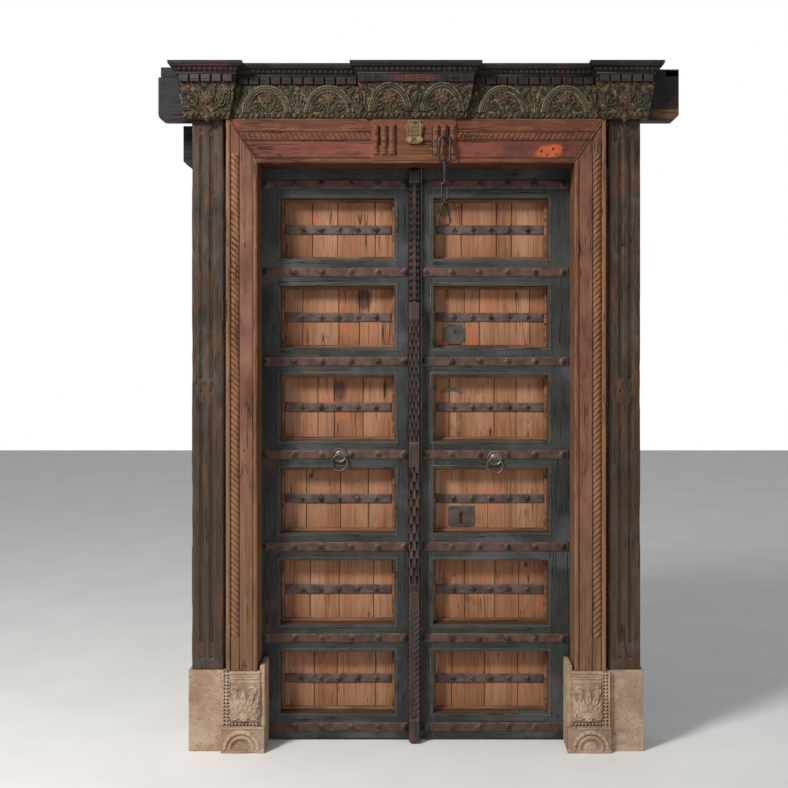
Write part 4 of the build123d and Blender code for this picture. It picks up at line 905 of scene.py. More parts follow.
def friezeSide(side, sign):
    look = friezeLook
    x, z, plane = onSide(sign, *leaningGrid(*look["side"], look["step"]))
    carving = Carving(x, z)
    foot = door["friezeFoot"]
    height = door["friezeTop"] - foot
    rise = look["rise"]
    middle = sign * look["sideMiddle"]
    beadStrip(carving, door["headTop"] + 2, foot - 2, look["beadPitch"], seed=12 + sign)
    for turn in (-1, 1):
        for k, (dx, dz, degrees, length) in enumerate(((22, 4, 40, 62), (14, 30, 66, 62), (40, 52, 20, 52),
                                                       (70, 20, 78, 60), (52, 6, 8, 46), (8, 62, 50, 44),
                                                       (78, 60, 56, 34))):
            angle = 90 - turn * (90 - degrees)
            carving.leafAt(middle + turn * dx, foot + dz, angle, length, 8.5 - 0.4 * k, rise * (0.95 - 0.05 * k),
                           curl=turn * (0.22 - 0.06 * k), line=0.5)
        carving.spiralAt(middle + turn * 50, foot + height * 0.36, 19, 1.7, 3.6, rise * 0.8, hand=turn, start=150)
        carving.flowerAt(middle + turn * 66, foot + height * 0.72, 13, rise, petals=6)
    carving.flowerAt(middle, foot + height * 0.46, 23, rise, petals=8)
    carving.wear(look["wear"], 50, 31 + sign)
    front = plane + 2 - carving.height + look["uneven"] * roughness(x, z, 40, 3, 9 + sign)
    piece = board(f"friezeSide{side.capitalize()}", x, z, front, look["back"], carving.marks(rise))
    hung = newObject("knot", knot.data.copy())
    markAll(hung, flower=0.8, relief=0.6)
    hung.data.transform(Matrix.Translation((doorX + middle * mm, leafY + knotSizes["y"] * mm, knotSizes["z"] * mm)))
    piece = joined(piece.name, [piece, hung])
    finish(piece, "door_frame", friezeWood, (f"frieze_block_{side}",))


for side, sign in sides:
    friezeBay(side, sign)
    friezeSide(side, sign)
friezeCentre()
bpy.data.objects.remove(knot)
print("frieze done")


# jambs with a twisted rope between flats and beads

jambSizes = {"stepX": 2.0, "stepZ": 3.2, "ropePitch": 20.6, "ropeRise": 8.0, "wear": 1.6, "rope": 617, "ropeHalf": 13,
             "ropeEnds": (389, 2044), "beads": (548, 641), "beadHalf": 7, "grooves": ((556.5, 1.6), (602.5, 1.6), (632,
                                                                                                                   1.8))}


def jamb(side, sign):
    look = jambSizes
    low, high = door["halfWidth"], door["jambOuter"]
    across, share = gridOf(low, high, int((high - low) / look["stepX"]),
                           0, 1, int((door["headTop"] - door["stoneTop"]) / look["stepZ"]))
    top = door["soffit"] + (across - low) * (door["headTop"] - door["soffit"]) / (high - low)
    z = door["stoneTop"] + (top - door["stoneTop"]) * share
    front = np.full_like(across, door["jambFront"] + 3.0)
    innerBead, outerBead = (dome(across - place, look["beadHalf"]) for place in look["beads"])
    front = front - 3.5 * innerBead - 3.5 * outerBead
    groove = sum(np.exp(-(((across - place) / width) ** 2)) for place, width in look["grooves"])
    ropeFoot, ropeHead = look["ropeEnds"]
    inLength = ramp(ropeFoot, ropeFoot + 5, z) * (1 - ramp(ropeHead - 4, ropeHead, z))
    ropeOn = inLength * dome(across - look["rope"], look["ropeHalf"])
    phase = np.mod(z / look["ropePitch"] - (across - look["rope"]) * 0.040, 1.0)
    strand = np.abs(np.sin(np.pi * phase)) ** 0.55
    rope = look["ropeRise"] * ropeOn * (0.30 + 0.70 * strand)
    bed = 3.0 * inLength * (np.abs(across - look["rope"]) < look["ropeHalf"] + 1.5)
    worn = ramp(0.1, 0.8, roughness(across, z, 90, 4, 3 + sign))
    front = front + 2.2 * groove + bed - rope * (1 - 0.3 * worn) + look["wear"] * worn * 0.6
    front = front + 0.5 * roughness(across * 6, z, 260, 3, 5)
    # painted shade in the grooves and between the rope's strands
    hollow = np.clip(groove + (ropeOn > 0.05) * (1 - strand) ** 1.6 * 1.1, 0, 1)
    onFlat = ramp(556, 560, across) * (1 - ramp(598, 602, across)) * (0.25 + 0.75 * ramp(450, 1300, z))
    lit = (ropeOn > 0.05) * strand ** 3 * 0.5 + outerBead * 0.5
    x, z, front, hollow, onFlat, lit = onSide(sign, across, z, front, hollow, onFlat, lit)
    marks = {"hollow": hollow, "tone": onFlat, "light": lit}
    piece = board(f"jamb{side.capitalize()}", x, z, front, door["frameBack"], marks)
    finish(piece, "door_frame", jambWood, (f"jamb_{side}",))


for side, sign in sides:
    jamb(side, sign)
print("jambs done")


# outer pilasters with round-ended flutes and drilled dots

pilasterSizes = {"inner": 659, "outer": 768, "front": -110, "fluteHalf": 8, "fluteDepth": 5, "places": (701, 735),
                 "flutes": ((364, 1192), (1268, 2104)), "dots": (2124, 1230, 320), "dotRadius": 5.2, "dotDepth": 4.5,
                 "step": 2.6, "stepZ": 4.5}


def pilaster(side, sign):
    look = pilasterSizes
    low, high = look["inner"], look["outer"]
    n, m = int((high - low) / look["step"]), int((door["headTop"] - door["stoneTop"]) / look["stepZ"])
    u, z = gridOf(0, 1, n, door["stoneTop"], door["headTop"], m)
    lowEdge = low + 2.2 * ramp(0.1, 0.9, roughness(0 * z, z, 120, 4, 17 + sign))
    highEdge = high - 3.0 * ramp(0.0, 0.9, roughness(0 * z, z, 150, 4, 27 + sign))
    across = lowEdge + (highEdge - lowEdge) * u
    # painted shade in the flutes and drilled dots
    hollow = np.zeros_like(across)
    cut = np.zeros_like(across)
    for place in look["places"]:
        for foot, head in look["flutes"]:
            inside = np.clip(z, foot + look["fluteHalf"], head - look["fluteHalf"])
            away = np.hypot(across - place, z - inside)
            cut = np.maximum(cut, look["fluteDepth"] * dome(away, look["fluteHalf"]))
            hollow = np.maximum(hollow, dome(away, look["fluteHalf"]) ** 0.7)
        for height in look["dots"]:
            away = np.hypot(across - place, z - height)
            cut = np.maximum(cut, look["dotDepth"] * (away < look["dotRadius"]))
            hollow = np.maximum(hollow, (away < look["dotRadius"] + 0.2) * 1.0)
    worn = ramp(0.0, 0.9, roughness(across, z, 160, 4, 7 + sign))
    edge = np.minimum(across - lowEdge, highEdge - across)
    rounding = 5.0 * np.clip(1 - edge / 9, 0, 1) ** 2 * (0.5 + worn)
    front = look["front"] + 1.0 + cut + rounding + 1.4 * worn + 0.7 * roughness(across * 5, z, 300, 3, 8)
    x, z, front, hollow = onSide(sign, across, z, front, hollow)
    piece = board(f"pilaster{side.capitalize()}", x, z, front, door["frameBack"], {"hollow": hollow * 0.4})
    finish(piece, "door_frame", pilasterWood, (f"pilaster_{side}",))


for side, sign in sides:
    pilaster(side, sign)
print("pilasters done")


# head rail: mitred board, slanted leaf band, middle block with small columns

headSizes = {"step": 2.0, "bandTop": 2114, "bandWidth": 26, "bandPitch": 18, "blockCentre": -6, "blockHalf": 146,
             "columns": (75, 102, 131), "columnHalf": 9, "columnMiddle": 2088, "columnTall": 42,
             "columnRings": ((2042, 4.5, 9), (2134, 4.5, 9), (2053, 2.6, 9.5), (2122, 2.6, 9.5)),
             "inset": (62, 54), "bandEnd": 612}


def headRail():
    look = headSizes
    outer, inner = door["jambOuter"] - 0.8, door["halfWidth"]
    n = int(2 * outer / look["step"])
    m = int((door["headTop"] - door["soffit"]) / look["step"])
    x, share = gridOf(-outer, outer, n, 0, 1, m)
    slope = (door["headTop"] - door["soffit"]) / (door["jambOuter"] - inner)
    foot = door["soffit"] + np.clip(np.abs(x) - inner, 0, None) * slope
    z = foot + (door["headTop"] - foot) * share
    height = np.zeros_like(x)
    bandLow, bandMiddle = look["bandTop"] - look["bandWidth"], look["bandTop"] - look["bandWidth"] / 2
    away = np.abs(x - look["blockCentre"])
    lean = np.sign(x - look["blockCentre"])
    phase = np.mod((away - (z - bandMiddle) * 0.55) / look["bandPitch"], 1.0)
    leafAcross = (phase - 0.5) * look["bandPitch"]
    leaf = dome(leafAcross, 8.6) ** 0.8 * dome(z - bandMiddle, look["bandWidth"] / 2) ** 0.5
    vein = 0.5 * np.exp(-((leafAcross / 1.3) ** 2))
    inBand = (np.abs(z - bandMiddle) < look["bandWidth"] / 2) & (np.abs(x) < look["bandEnd"])
    inBand = inBand & (away > look["blockHalf"])
    leaf = leaf * (0.72 + 0.28 * roughness(x, z, 22, 3, 91))
    height = np.where(inBand, 4.5 * leaf - 1.2 * vein * leaf, height)
    lines = np.exp(-(((z - bandLow + 3) / 1.6) ** 2)) + np.exp(-(((z - look["bandTop"] - 3) / 1.6) ** 2))
    lines = lines * (away > look["blockHalf"])
    lines = lines + np.exp(-(((z - foot - 17) / 1.7) ** 2)) * (away > look["blockHalf"])
    bead = 3.0 * dome(z - foot - 8, 8)
    height = height + bead * (away > look["blockHalf"])
    # painted shade in cut lines, between and along the band's leaves, and further down in slots, inset edges and the
    # crack
    hollow = np.clip(lines + np.where(inBand, (1 - leaf) ** 2 + 0.5 * vein, 0), 0, 1)
    onBlock = ramp(0, 2.5, look["blockHalf"] - away) * (z > 2022)
    height = np.maximum(height, 6.0 * onBlock)
    columnMiddle = look["columnMiddle"]
    for offset in look["columns"]:
        gap = np.abs(away - offset)
        shaft = 9 * dome(gap, look["columnHalf"]) * (np.abs(z - columnMiddle) < look["columnTall"])
        rings = dome(gap, 12) * sum(high * np.exp(-(((z - place) / half) ** 4))
                                    for place, half, high in look["columnRings"])
        waist = 1 - 0.25 * np.exp(-(((z - columnMiddle) / 14) ** 2))
        belly = 10 * dome(gap, 11) * dome(z - columnMiddle, 17)
        column = np.maximum(np.maximum(shaft * waist, rings), belly)
        height = np.maximum(height, (6 + column) * onBlock)
        slot = onBlock * np.exp(-(((away - offset + 13.5) / 2.6) ** 4)) * (np.abs(z - 2100) < 33)
        hollow = np.maximum(hollow, slot)
        height = height - 7.0 * slot
    insetHalf, insetTall = look["inset"]
    inset = (np.abs(z - columnMiddle) < insetTall) * onBlock
    height = height - 3.0 * ramp(0, 1.5, insetHalf - away) * inset
    hollow = np.maximum(hollow, inset * np.exp(-(((away - insetHalf) / 1.5) ** 2)))
    crack = np.exp(-(((z - 2080 - 5 * np.sin(x / 70)) / 1.3) ** 2)) * (x < -150) * (x > -390)
    hollow = np.maximum(hollow, crack)
    worn = ramp(0.1, 0.9, roughness(x, z, 120, 4, 44))
    front = door["jambFront"] + 2.0 - height * (1 - 0.25 * worn) + 2.2 * np.clip(lines, 0, 1) + 2 * crack
    front = front + 1.0 * worn + 0.5 * roughness(x, z * 5, 260, 3, 9)
    flat = ramp(foot + 20, foot + 24, z) * (1 - ramp(bandLow - 8, bandLow - 4, z)) * (away > look["blockHalf"])
    lit = np.where(inBand, leaf ** 2 * 0.55, 0) + 0.1 * onBlock * (hollow < 0.2)
    marks = {"hollow": hollow, "tone": flat, "light": lit}
    piece = board("headRail", x, z, front, door["frameBack"], marks)
    finish(piece, "door_frame", headWood, ("head_rail",))


headRail()


# outline as (share of the height, share of the half width)
plaqueSizes = {"outline": ((0, 0.62), (0.12, 0.95), (0.2, 1.0), (0.3, 0.7), (0.5, 0.84), (0.78, 1.0), (0.88, 0.7),
                           (1, 0.66)), "ribPitch": 8.5}


def headPlaque():
    # gilded plaque with ribs across, side columns and two curls at its foot
    low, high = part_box("head_plaque")
    u, v = gridOf(-1, 1, 45, 0, 1, 60)
    half = (high[0] - low[0]) / 2
    tall = (high[2] - low[2]) / mm
    shares, widths = zip(*plaqueSizes["outline"])
    middle = (low[0] + high[0]) / 2
    x = u * np.interp(v, shares, widths) * half
    across, up = x / mm, v * tall
    thick = (high[1] - low[1]) / mm
    ribs = thick * (0.45 + 0.25 * np.abs(np.sin(np.pi * up / plaqueSizes["ribPitch"])))
    height = np.where((v > 0.26) & (v < 0.8), ribs, thick * 0.5)
    width = half / mm
    height = np.where((np.abs(across) > 0.6 * width) & (v > 0.28) & (v < 0.84), thick * 0.75, height)
    for turn in (-1, 1):
        r = np.hypot(across - turn * width * 0.62, up - tall * 0.15)
        height = np.maximum(height, thick * (0.55 + 0.4 * np.abs(np.cos(r * 0.75))) * (r < 11))
    height = np.maximum(height, thick * 0.95 * dome(np.hypot(across / 11, (up - tall * 0.9) / 6), 1))
    dark = np.exp(-(((np.abs(across) - 0.58 * width) / 1.3) ** 2)) * (v > 0.26) * (v < 0.84)
    front = high[1] - np.maximum(height - 3 * dark, 1.5) * mm
    piece = reliefBoard("headPlaque", middle + x, low[2] + up * mm, front, float(high[1]), {"hollow": dark})
    finish(piece, "door_frame", plaqueGilt, ("head_plaque",))


headPlaque()
print("head done")


# beams and cornice

beamSizes = {"caps": ((-877, -812, 2344), (812, 903, 2337)), "front": -98, "back": -40, "foot": 2309,
             "bevel": 3}


def roundedBlock(name, xLow, xHigh, yLow, yHigh, zLow, zHigh, bevel):
    # block with worn edges, in the door's millimetres
    corners = [(doorX + x * mm, leafY + y * mm, z * mm)
               for x in (xLow, xHigh) for y in (yLow, yHigh) for z in (zLow, zHigh)]
    faces = [[0, 1, 3, 2], [4, 6, 7, 5], [0, 4, 5, 1], [2, 3, 7, 6], [0, 2, 6, 4], [1, 5, 7, 3]]
    return facedOut(addMesh(name, corners, faces, [False] * 6), bevel=bevel * mm)


beamParts = [wornCopy("lintel_beam", "lintelBeam", 4 * mm)]
for low, high, top in beamSizes["caps"]:
    beamParts.append(roundedBlock("beamCap", low, high, beamSizes["front"], beamSizes["back"],
                                  beamSizes["foot"], top, beamSizes["bevel"]))
finish(joined("lintelBeam", beamParts), "door_frame", darkWood, ("lintel_beam",))
dressedCopy("pivot_lintel", "pivotBeam", "door_frame", darkWood, beamSizes["bevel"])

corniceSizes = {"blockFront": -166, "dentilPitch": 37, "dentilGap": 6, "dentilHalf": 15.2, "dentilReach": 9.5,
                "dentilFoot": 2278, "dentilTop": 2302.6, "dentilBevel": 1.8, "tooth": ((6.2, -2), (6.2, 4.5), (4.6,
                                                                                                               6.2)),
                "teethHeight": 2320.5, "teethPitch": 17.6, "teethReach": 8, "beads": ((3, 2308, 2.6), (9.5, 2326.5,
                                                                                                       2.0)),
                "runs": ((-808, -612, -166), (-196, 196, -166), (612, 808, -166), (-604, -204, -122), (204, 604, -122))}


def halfRound(name, xLow, xHigh, y, z, radius, steps=6):
    # thin bead along x, rounded towards the front
    verts = []
    for x in (xLow, xHigh):
        for k in range(steps + 1):
            angle = math.pi * k / steps
            out, up = radius * math.sin(angle), radius * math.cos(angle)
            verts.append((doorX + x * mm, leafY + (y - out) * mm, (z + up) * mm))
    count = steps + 1
    faces = [[k, (k + 1) % count, count + (k + 1) % count, count + k] for k in range(count)]
    faces += [list(range(count))[::-1], list(range(count, 2 * count))]
    return addMesh(name, verts, faces)


def cornice():
    look = corniceSizes
    tooth = latheMesh("toothShape", look["tooth"], 4)
    tooth.data.transform(Matrix.Rotation(math.radians(45), 4, "Y"))
    pieces = [wornCopy("cornice", "cornice", 1.6 * mm)]
    points = []
    for low, high, front in look["runs"]:
        inner = (low + 4, high - 4) if front == look["blockFront"] else (low - 8, high + 8)
        number = max(1, int((inner[1] - inner[0] + look["dentilGap"]) / look["dentilPitch"]))
        first = (inner[0] + inner[1]) / 2 - (number - 1) * look["dentilPitch"] / 2
        for k in range(number):
            x = first + k * look["dentilPitch"]
            pieces.append(roundedBlock("dentil", x - look["dentilHalf"], x + look["dentilHalf"],
                                       front - look["dentilReach"], front + 1, look["dentilFoot"],
                                       look["dentilTop"], look["dentilBevel"]))
        for reach, height, radius in look["beads"]:
            overhang = reach * 0.9
            pieces.append(halfRound("crownBead", low - overhang, high + overhang, front - reach, height, radius))
        count = int((high - low) / look["teethPitch"])
        start = (low + high) / 2 - (count - 1) * look["teethPitch"] / 2
        points += [(doorX + (start + k * look["teethPitch"]) * mm, leafY + (front - look["teethReach"]) * mm,
                    look["teethHeight"] * mm) for k in range(count)]
    pieces.append(repeated("smallTeeth", points, tooth, darkWood, turn=0.05, grow=0.12, seed=6))
    bpy.data.objects.remove(tooth)
    for piece in pieces:
        piece.data.materials.clear()
    return joined("cornice", pieces)


finish(cornice(), "door_frame", darkWood, ("cornice",))
print("beams and cornice done")


# leaves: worn timber frames, bare boards, iron straps

leafSizes = {"bevel": 2.2, "beadBevel": 2.0, "seamBevel": 0.4, "panelStep": 6.0, "strapStep": 5.0, "lineAway": 8.0,
             "lineHalf": 2.6,
             "lineRise": 2.0, "stripRows": 9, "stripEdge": 3.0, "stripBevel": 1.2, "plankCount": 4}


def looseStrips(name, node, wobble, seed):
    # forged strips: one closed relief board for each solid of the node
    look, made = leafSizes, []
    for i, (lowCorner, highCorner) in enumerate(looseBoxes(node)):
        n = max(4, int((highCorner[0] - lowCorner[0]) / (look["strapStep"] * mm)))
        u, v = gridOf(0, 1, n, 0, 1, look["stripRows"])
        x = lowCorner[0] + (highCorner[0] - lowCorner[0]) * u
        lowEdge = lowCorner[2] + wobble * (0.5 + 0.5 * roughness(x / mm, 0 * x, 90, 3, seed + i))
        highEdge = highCorner[2] - wobble * (0.5 + 0.5 * roughness(x / mm, 0 * x + 50, 90, 3, seed + i))
        z = lowEdge + (highEdge - lowEdge) * v
        edge = np.minimum(np.minimum(v, 1 - v) * (highCorner[2] - lowCorner[2]),
                          np.minimum(u, 1 - u) * (highCorner[0] - lowCorner[0]))
        y = lowCorner[1] + look["stripBevel"] * mm * np.clip(1 - edge / (look["stripEdge"] * mm), 0, 1) ** 2
        y = y + 0.35 * mm * roughness(x / mm, z / mm, 60, 3, seed + i)
        made.append(reliefBoard(f"{name}{i}", x, z, y, float(highCorner[1])))
    return joined(name, made)


def panelBoards(name, node, seed):
    # upright planks with narrow joints between them
    lowCorner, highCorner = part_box(node)
    width, tall = highCorner[0] - lowCorner[0], highCorner[2] - lowCorner[2]
    chance = np.random.default_rng(40 + seed)
    planks = leafSizes["plankCount"]
    joints = (np.arange(1, planks) + chance.uniform(-0.35, 0.35, planks - 1)) / planks
    near = (joints[:, None] + np.array((-2.0, -0.9, 0.0, 0.9, 2.0)) * mm / width).ravel()
    columns = np.unique(np.concatenate([np.linspace(0, 1, int(width / (leafSizes["panelStep"] * mm))), near]))
    rows = np.linspace(0, 1, int(tall / (leafSizes["panelStep"] * mm)))
    u, v = np.meshgrid(columns, rows, indexing="ij")
    number = np.searchsorted(joints, u.ravel()).reshape(u.shape)
    joint = np.clip(1 - np.min(np.abs(u[..., None] - joints), axis=-1) * width / (1.5 * mm), 0, 1)
    plank = lattice(number + 1.0, 0.0 * u + seed, 0.0 * u, 3)
    x, z = lowCorner[0] + width * u, lowCorner[2] + tall * v
    y = lowCorner[1] + (1.0 + 1.2 * plank + 2.2 * joint + 0.7 * roughness(x * 4 / mm, z / mm, 420, 4, seed)) * mm
    return reliefBoard(name, x, z, y, float(highCorner[1]), {"plank": plank, "joint": joint})


def openingBeads(side):
    # thin rounded line run round each opening on the face of the frame
    look, made = leafSizes, []
    boxes = looseBoxes(f"{side}_panel_beads")
    for number in range(1, 7):
        panelLow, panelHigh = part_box(f"{side}_panel_{number}")
        mine = [b for b in boxes if panelLow[2] - 0.03 < (b[0][2] + b[1][2]) / 2 < panelHigh[2] + 0.03]
        low = np.min([b[0] for b in mine], axis=0) - look["lineAway"] * mm
        high = np.max([b[1] for b in mine], axis=0) + look["lineAway"] * mm
        verts, faces = [], []
        for cornerX, cornerZ, outX, outZ in ((low[0], low[2], -1, -1), (high[0], low[2], 1, -1),
                                             (high[0], high[2], 1, 1), (low[0], high[2], -1, 1)):
            for k in range(5):
                angle = math.pi * k / 4
                out, rise = -look["lineHalf"] * mm * math.cos(angle), look["lineRise"] * mm * math.sin(angle)
                verts.append((cornerX + outX * out, leafY - rise, cornerZ + outZ * out))
        for corner in range(4):
            for k in range(5):
                a, b = corner * 5, (corner + 1) % 4 * 5
                faces.append([a + k, b + k, b + (k + 1) % 5, a + (k + 1) % 5])
        made.append(addMesh(f"line{number}", verts, faces))
    return facedOut(joined(f"openingLines{side.capitalize()}", made))


keyholeSizes = {"x": (151, 169), "z": (750, 797), "front": 71.0, "back": 73.5}


def keyholeBacking():
    # dark inner end of the keyhole, inside the board
    x, z = gridOf(*keyholeSizes["x"], 7, *keyholeSizes["z"], 12)
    front = keyholeSizes["front"] + 0.4 * roughness(x, z, 12, 2, 4)
    return board("keyholeBacking", x, z, front, keyholeSizes["back"])


# heads from the rim to the tip
headProfiles = {"stud": ((14.2, 0), (14.2, 1.4), (13.0, 2.6), (9.8, 2.8), (9.0, 4.0), (8.4, 5.8), (6.8, 8.0), (4.0,
                                                                                                               9.5),
                         (1.6, 9.9)),
                "nail": ((14.4, 0), (14.4, 1.6), (12.0, 2.6), (7.6, 3.0), (6.9, 4.4), (6.0, 6.6), (3.8, 8.7), (1.4,
                                                                                                               9.5))}
stud = latheMesh("studShape", headProfiles["stud"], 24, 8, 0.17)
nail = latheMesh("nailShape", headProfiles["nail"], 24, 4, 0.46)


def nailPoints(node):
    points = []
    for lowCorner, highCorner in looseBoxes(node):
        points.append(((lowCorner[0] + highCorner[0]) / 2, highCorner[1], (lowCorner[2] + highCorner[2]) / 2))
    return points


def leaf(side, sign):
    look, body, label = leafSizes, f"{side}_leaf", side.capitalize()
    for node, name, bevel in (("pivot_stile", "pivotStile", "bevel"), ("meeting_stile", "meetingStile", "seamBevel")):
        dressedCopy(f"{side}_{node}", name + label, body, slateUpright, look[bevel])
    rails = wornCopy(f"{side}_rails", f"rails{label}", look["bevel"] * mm)
    finish(joined(f"rails{label}", [rails, openingBeads(side)]), body, slateAcross, (f"{side}_rails",))
    dressedCopy(f"{side}_panel_beads", f"panelBeads{label}", body, beadWood, look["beadBevel"])
    for number in range(1, 7):
        node, name = f"{side}_panel_{number}", f"panel{label}{number}"
        if node == "right_panel_3":
            piece = joined(name, [wornCopy(node, "lockPanel", 0), keyholeBacking()])
        else:
            piece = panelBoards(name, node, number * 3 + sign)
        finish(piece, body, panelWood, (node,))
    for node, name, material, wobble, seed in (("straps", "straps", strapIron, 1.6, 5),
                                               ("panel_straps", "panelStraps", thinIron, 2.0, 15)):
        strips = looseStrips(name + label, f"{side}_{node}", wobble * mm, seed + sign)
        finish(strips, body, material, (f"{side}_{node}",))
    for node, name, shape, turn, tilt, grow, seed in (("studs", "studs", stud, 3.1, 0.05, 0.08, 4),
                                                      ("panel_nails", "panelNails", nail, 0.4, 0.06, 0.1, 9)):
        heads = repeated(name + label, nailPoints(f"{side}_{node}"), shape, nailIron, turn, tilt, grow, seed)
        finish(heads, body, nailIron, (f"{side}_{node}",))


for side, sign in sides:
    leaf(side, sign)
bpy.data.objects.remove(stud)
bpy.data.objects.remove(nail)
print("leaves done")


# ring pulls

pullSizes = {"rose": ((28, 0), (28, 2.6), (26.6, 5.0), (24.6, 6.0), (22.8, 5.2), (21.6, 3.4), (13.5, 3.6), (12.6, 5.0),
                      (9.5, 6.4), (5.0, 7.2)), "eyeRadius": 7, "eyeWire": 2.5, "ringWire": 3.3, "eyeOver": 2}


def camel(node):
    first, *others = node.split("_")
    return first + "".join(word.capitalize() for word in others)


def circlePath(centre, radius, count, first, second):
    # points of a circle in the plane of two axes (0 x, 1 y, 2 z)
    path = []
    for k in range(count):
        angle = 2 * math.pi * k / count
        point = list(centre)
        point[first] += radius * math.cos(angle)
        point[second] += radius * math.sin(angle)
        path.append(point)
    return path


def pull(side):
    label = side.capitalize()
    lowCorner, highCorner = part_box(f"{side}_ring_rose")
    centre = ((lowCorner[0] + highCorner[0]) / 2, highCorner[1], (lowCorner[2] + highCorner[2]) / 2)
    rose = latheMesh(f"rose{label}", pullSizes["rose"], 48, 12, 0.03)
    rose.data.transform(Matrix.Translation(centre))
    eyeCentre = (centre[0], lowCorner[1] + (pullSizes["eyeRadius"] + pullSizes["eyeWire"]) * mm,
                 centre[2] + pullSizes["eyeOver"] * mm)
    eye = wired(f"eye{label}", circlePath(eyeCentre, pullSizes["eyeRadius"] * mm, 32, 1, 2),
                pullSizes["eyeWire"] * mm, 10, pullMetal)
    finish(joined(f"rose{label}", [rose, eye]), f"{side}_leaf", pullMetal, (f"{side}_ring_rose",))
    lowCorner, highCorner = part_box(f"{side}_ring")
    middle = [(a + b) / 2 for a, b in zip(lowCorner, highCorner)]
    wire = pullSizes["ringWire"] * mm
    radius = (highCorner[0] - lowCorner[0]) / 2 - wire
    ring = wired(f"ring{label}", circlePath(middle, radius, 72, 0, 2), wire, 14, pullMetal, wobble=0.06, seed=2)
    finish(ring, f"{side}_pull", pullMetal, (f"{side}_ring",))


for side, sign in sides:
    pull(side)
for node in ("notched_plate", "crescent_strip", "key_plate"):
    dressedCopy(node, camel(node), "right_leaf", plateIron, 0.7)
print("pulls and plates done")


# cover post

# heights where one kind of carving gives way to the next, from the floor up
postSizes = {"left": -27.5, "right": 15.5, "stepX": 1.35, "stepZ": 2.6, "depth": 45.0, "bed": 35.5, "foot": 8,
             "chevrons": 86, "block": 484, "leaves": 554, "plain": 965, "scales": 1048, "boss": 1474, "rib": 1539,
             "bulb": 1961, "top": 2006, "chevronPitch": 20.0, "ribPitch": 24, "ribHalf": 6}


def coverPost():
    look = postSizes
    n = int((look["right"] - look["left"]) / look["stepX"])
    m = int((look["top"] - look["foot"]) / look["stepZ"])
    x, z = gridOf(look["left"], look["right"], n, look["foot"], look["top"], m)
    middle = (look["left"] + look["right"]) / 2
    across = x - middle
    away = np.abs(across)
    slope = 13.5 + (np.clip((21.5 - away) / 5.0, 0, 1)) * 31.5
    depth = np.zeros_like(x)
    hollow = np.zeros_like(x)
    flat, bed = look["depth"], look["bed"]

    # depth and painted shade for one band of heights
    def zone(low, high, value, dark=0):
        nonlocal depth, hollow
        on = (z >= low) & (z < high)
        depth = np.where(on, value, depth)
        hollow = np.where(on, dark, hollow)

    zone(look["foot"], look["chevrons"], flat - 0.5)
    phase = np.mod((z - away * 0.95 - look["chevrons"]) / look["chevronPitch"], 1.0)
    chevron = bed + 5.5 * dome(phase - 0.5, 0.5) ** 0.7
    zone(look["chevrons"], look["block"], chevron, (1 - dome(phase - 0.5, 0.5)) ** 1.5)
    zone(look["block"] - 8, look["block"], flat - 3)
    centre = (look["block"] + look["leaves"]) / 2
    r, angle = np.hypot(across, z - centre), np.arctan2(z - centre, across)
    lobes = np.abs(np.cos(4 * angle))
    blockFlower = 4.5 * np.clip((14 * (0.8 + 0.2 * lobes) - r) / 4, 0, 1) ** 0.6 * (0.6 + 0.4 * lobes)
    blockFlower = np.maximum(blockFlower, 5 * dome(r, 4))
    zone(look["block"], look["leaves"], flat - 2 + blockFlower, 0.4 * np.exp(-(((r - 15) / 2) ** 2)))

    def scales(low, pitchZ, halfWide, rows):
        # overlapping rounded scales in offset rows
        row = (z - low) / pitchZ
        value = np.zeros_like(x)
        dark = np.ones_like(x)
        for k in (0, 1):
            index = np.floor(row) - k
            shift = np.mod(index, 2) * halfWide
            local = np.mod(across - shift + halfWide, 2 * halfWide) - halfWide
            down = (row - index) * pitchZ
            reach = np.hypot(local / halfWide, (down - 0.2 * pitchZ) / (1.35 * pitchZ))
            cap = np.where(reach < 1, np.sqrt(np.clip(1 - reach ** 2, 0, 1)) * (0.7 + 0.3 * down / pitchZ), 0)
            vein = np.exp(-((local / 1.1) ** 2)) * (reach < 0.85)
            cap = cap - 0.18 * vein * rows
            dark = np.where(cap > value, np.clip(1.15 - 2.2 * (1 - reach), 0, 1), dark)
            value = np.maximum(value, cap)
        return value, dark

    leafy, leafyDark = scales(look["leaves"], 30, 10.5, 1)
    zone(look["leaves"], look["plain"], bed + 7 * leafy, leafyDark)
    zone(look["plain"], look["scales"], flat - 0.5)
    fish, fishDark = scales(look["scales"], 24, 7.2, 0)
    zone(look["scales"], look["boss"], bed + 6 * fish, fishDark)
    boss = 40 + 7.5 * np.clip(1.25 - np.maximum(away / 20, np.abs(z - 1506) / 30), 0, 1) ** 0.5
    zone(look["boss"], look["rib"], boss, 0.5 * np.exp(-(((np.abs(z - 1506) - 29) / 2) ** 2)))
    pitch, ribHalf = look["ribPitch"], look["ribHalf"]
    local = np.mod(z - look["rib"], pitch) - pitch / 2
    rib = np.where(away < ribHalf, 29 * (1 + 0.04 * np.cos(local / pitch * 2 * np.pi)), 0)
    besideRib = dome(np.hypot((away - 12) / 6.5, local / 9), 1)
    ribDark = np.clip(np.exp(-(((away - 6.5) / 1.2) ** 2)) + (away > ribHalf) * (1 - besideRib), 0, 1)
    zone(look["rib"], look["bulb"], np.maximum(rib, 21 + 4.5 * besideRib), ribDark * 0.8)
    bulb = 30 + 13 * dome(z - 1980, 26) * dome(across, 26)
    zone(look["bulb"], look["top"], bulb, 0.6 * np.exp(-(((z - 1966) / 2) ** 2)))
    wornAmount = ramp(0.0, 0.9, roughness(x, z, 110, 4, 61))
    front = -np.minimum(np.minimum(slope, depth), 50) + 1.2 * wornAmount + 0.4 * roughness(x * 5, z, 200, 3, 63)
    lit = np.clip((front.min() + 14 - front) / 14, 0, 1) * (1 - hollow) * 0.4
    piece = board("coverPost", x, z, front, 0.0, {"hollow": hollow, "light": lit})
    finish(piece, "left_leaf", postWood, ("centre_post",))


coverPost()
print("post done")


# stone bases

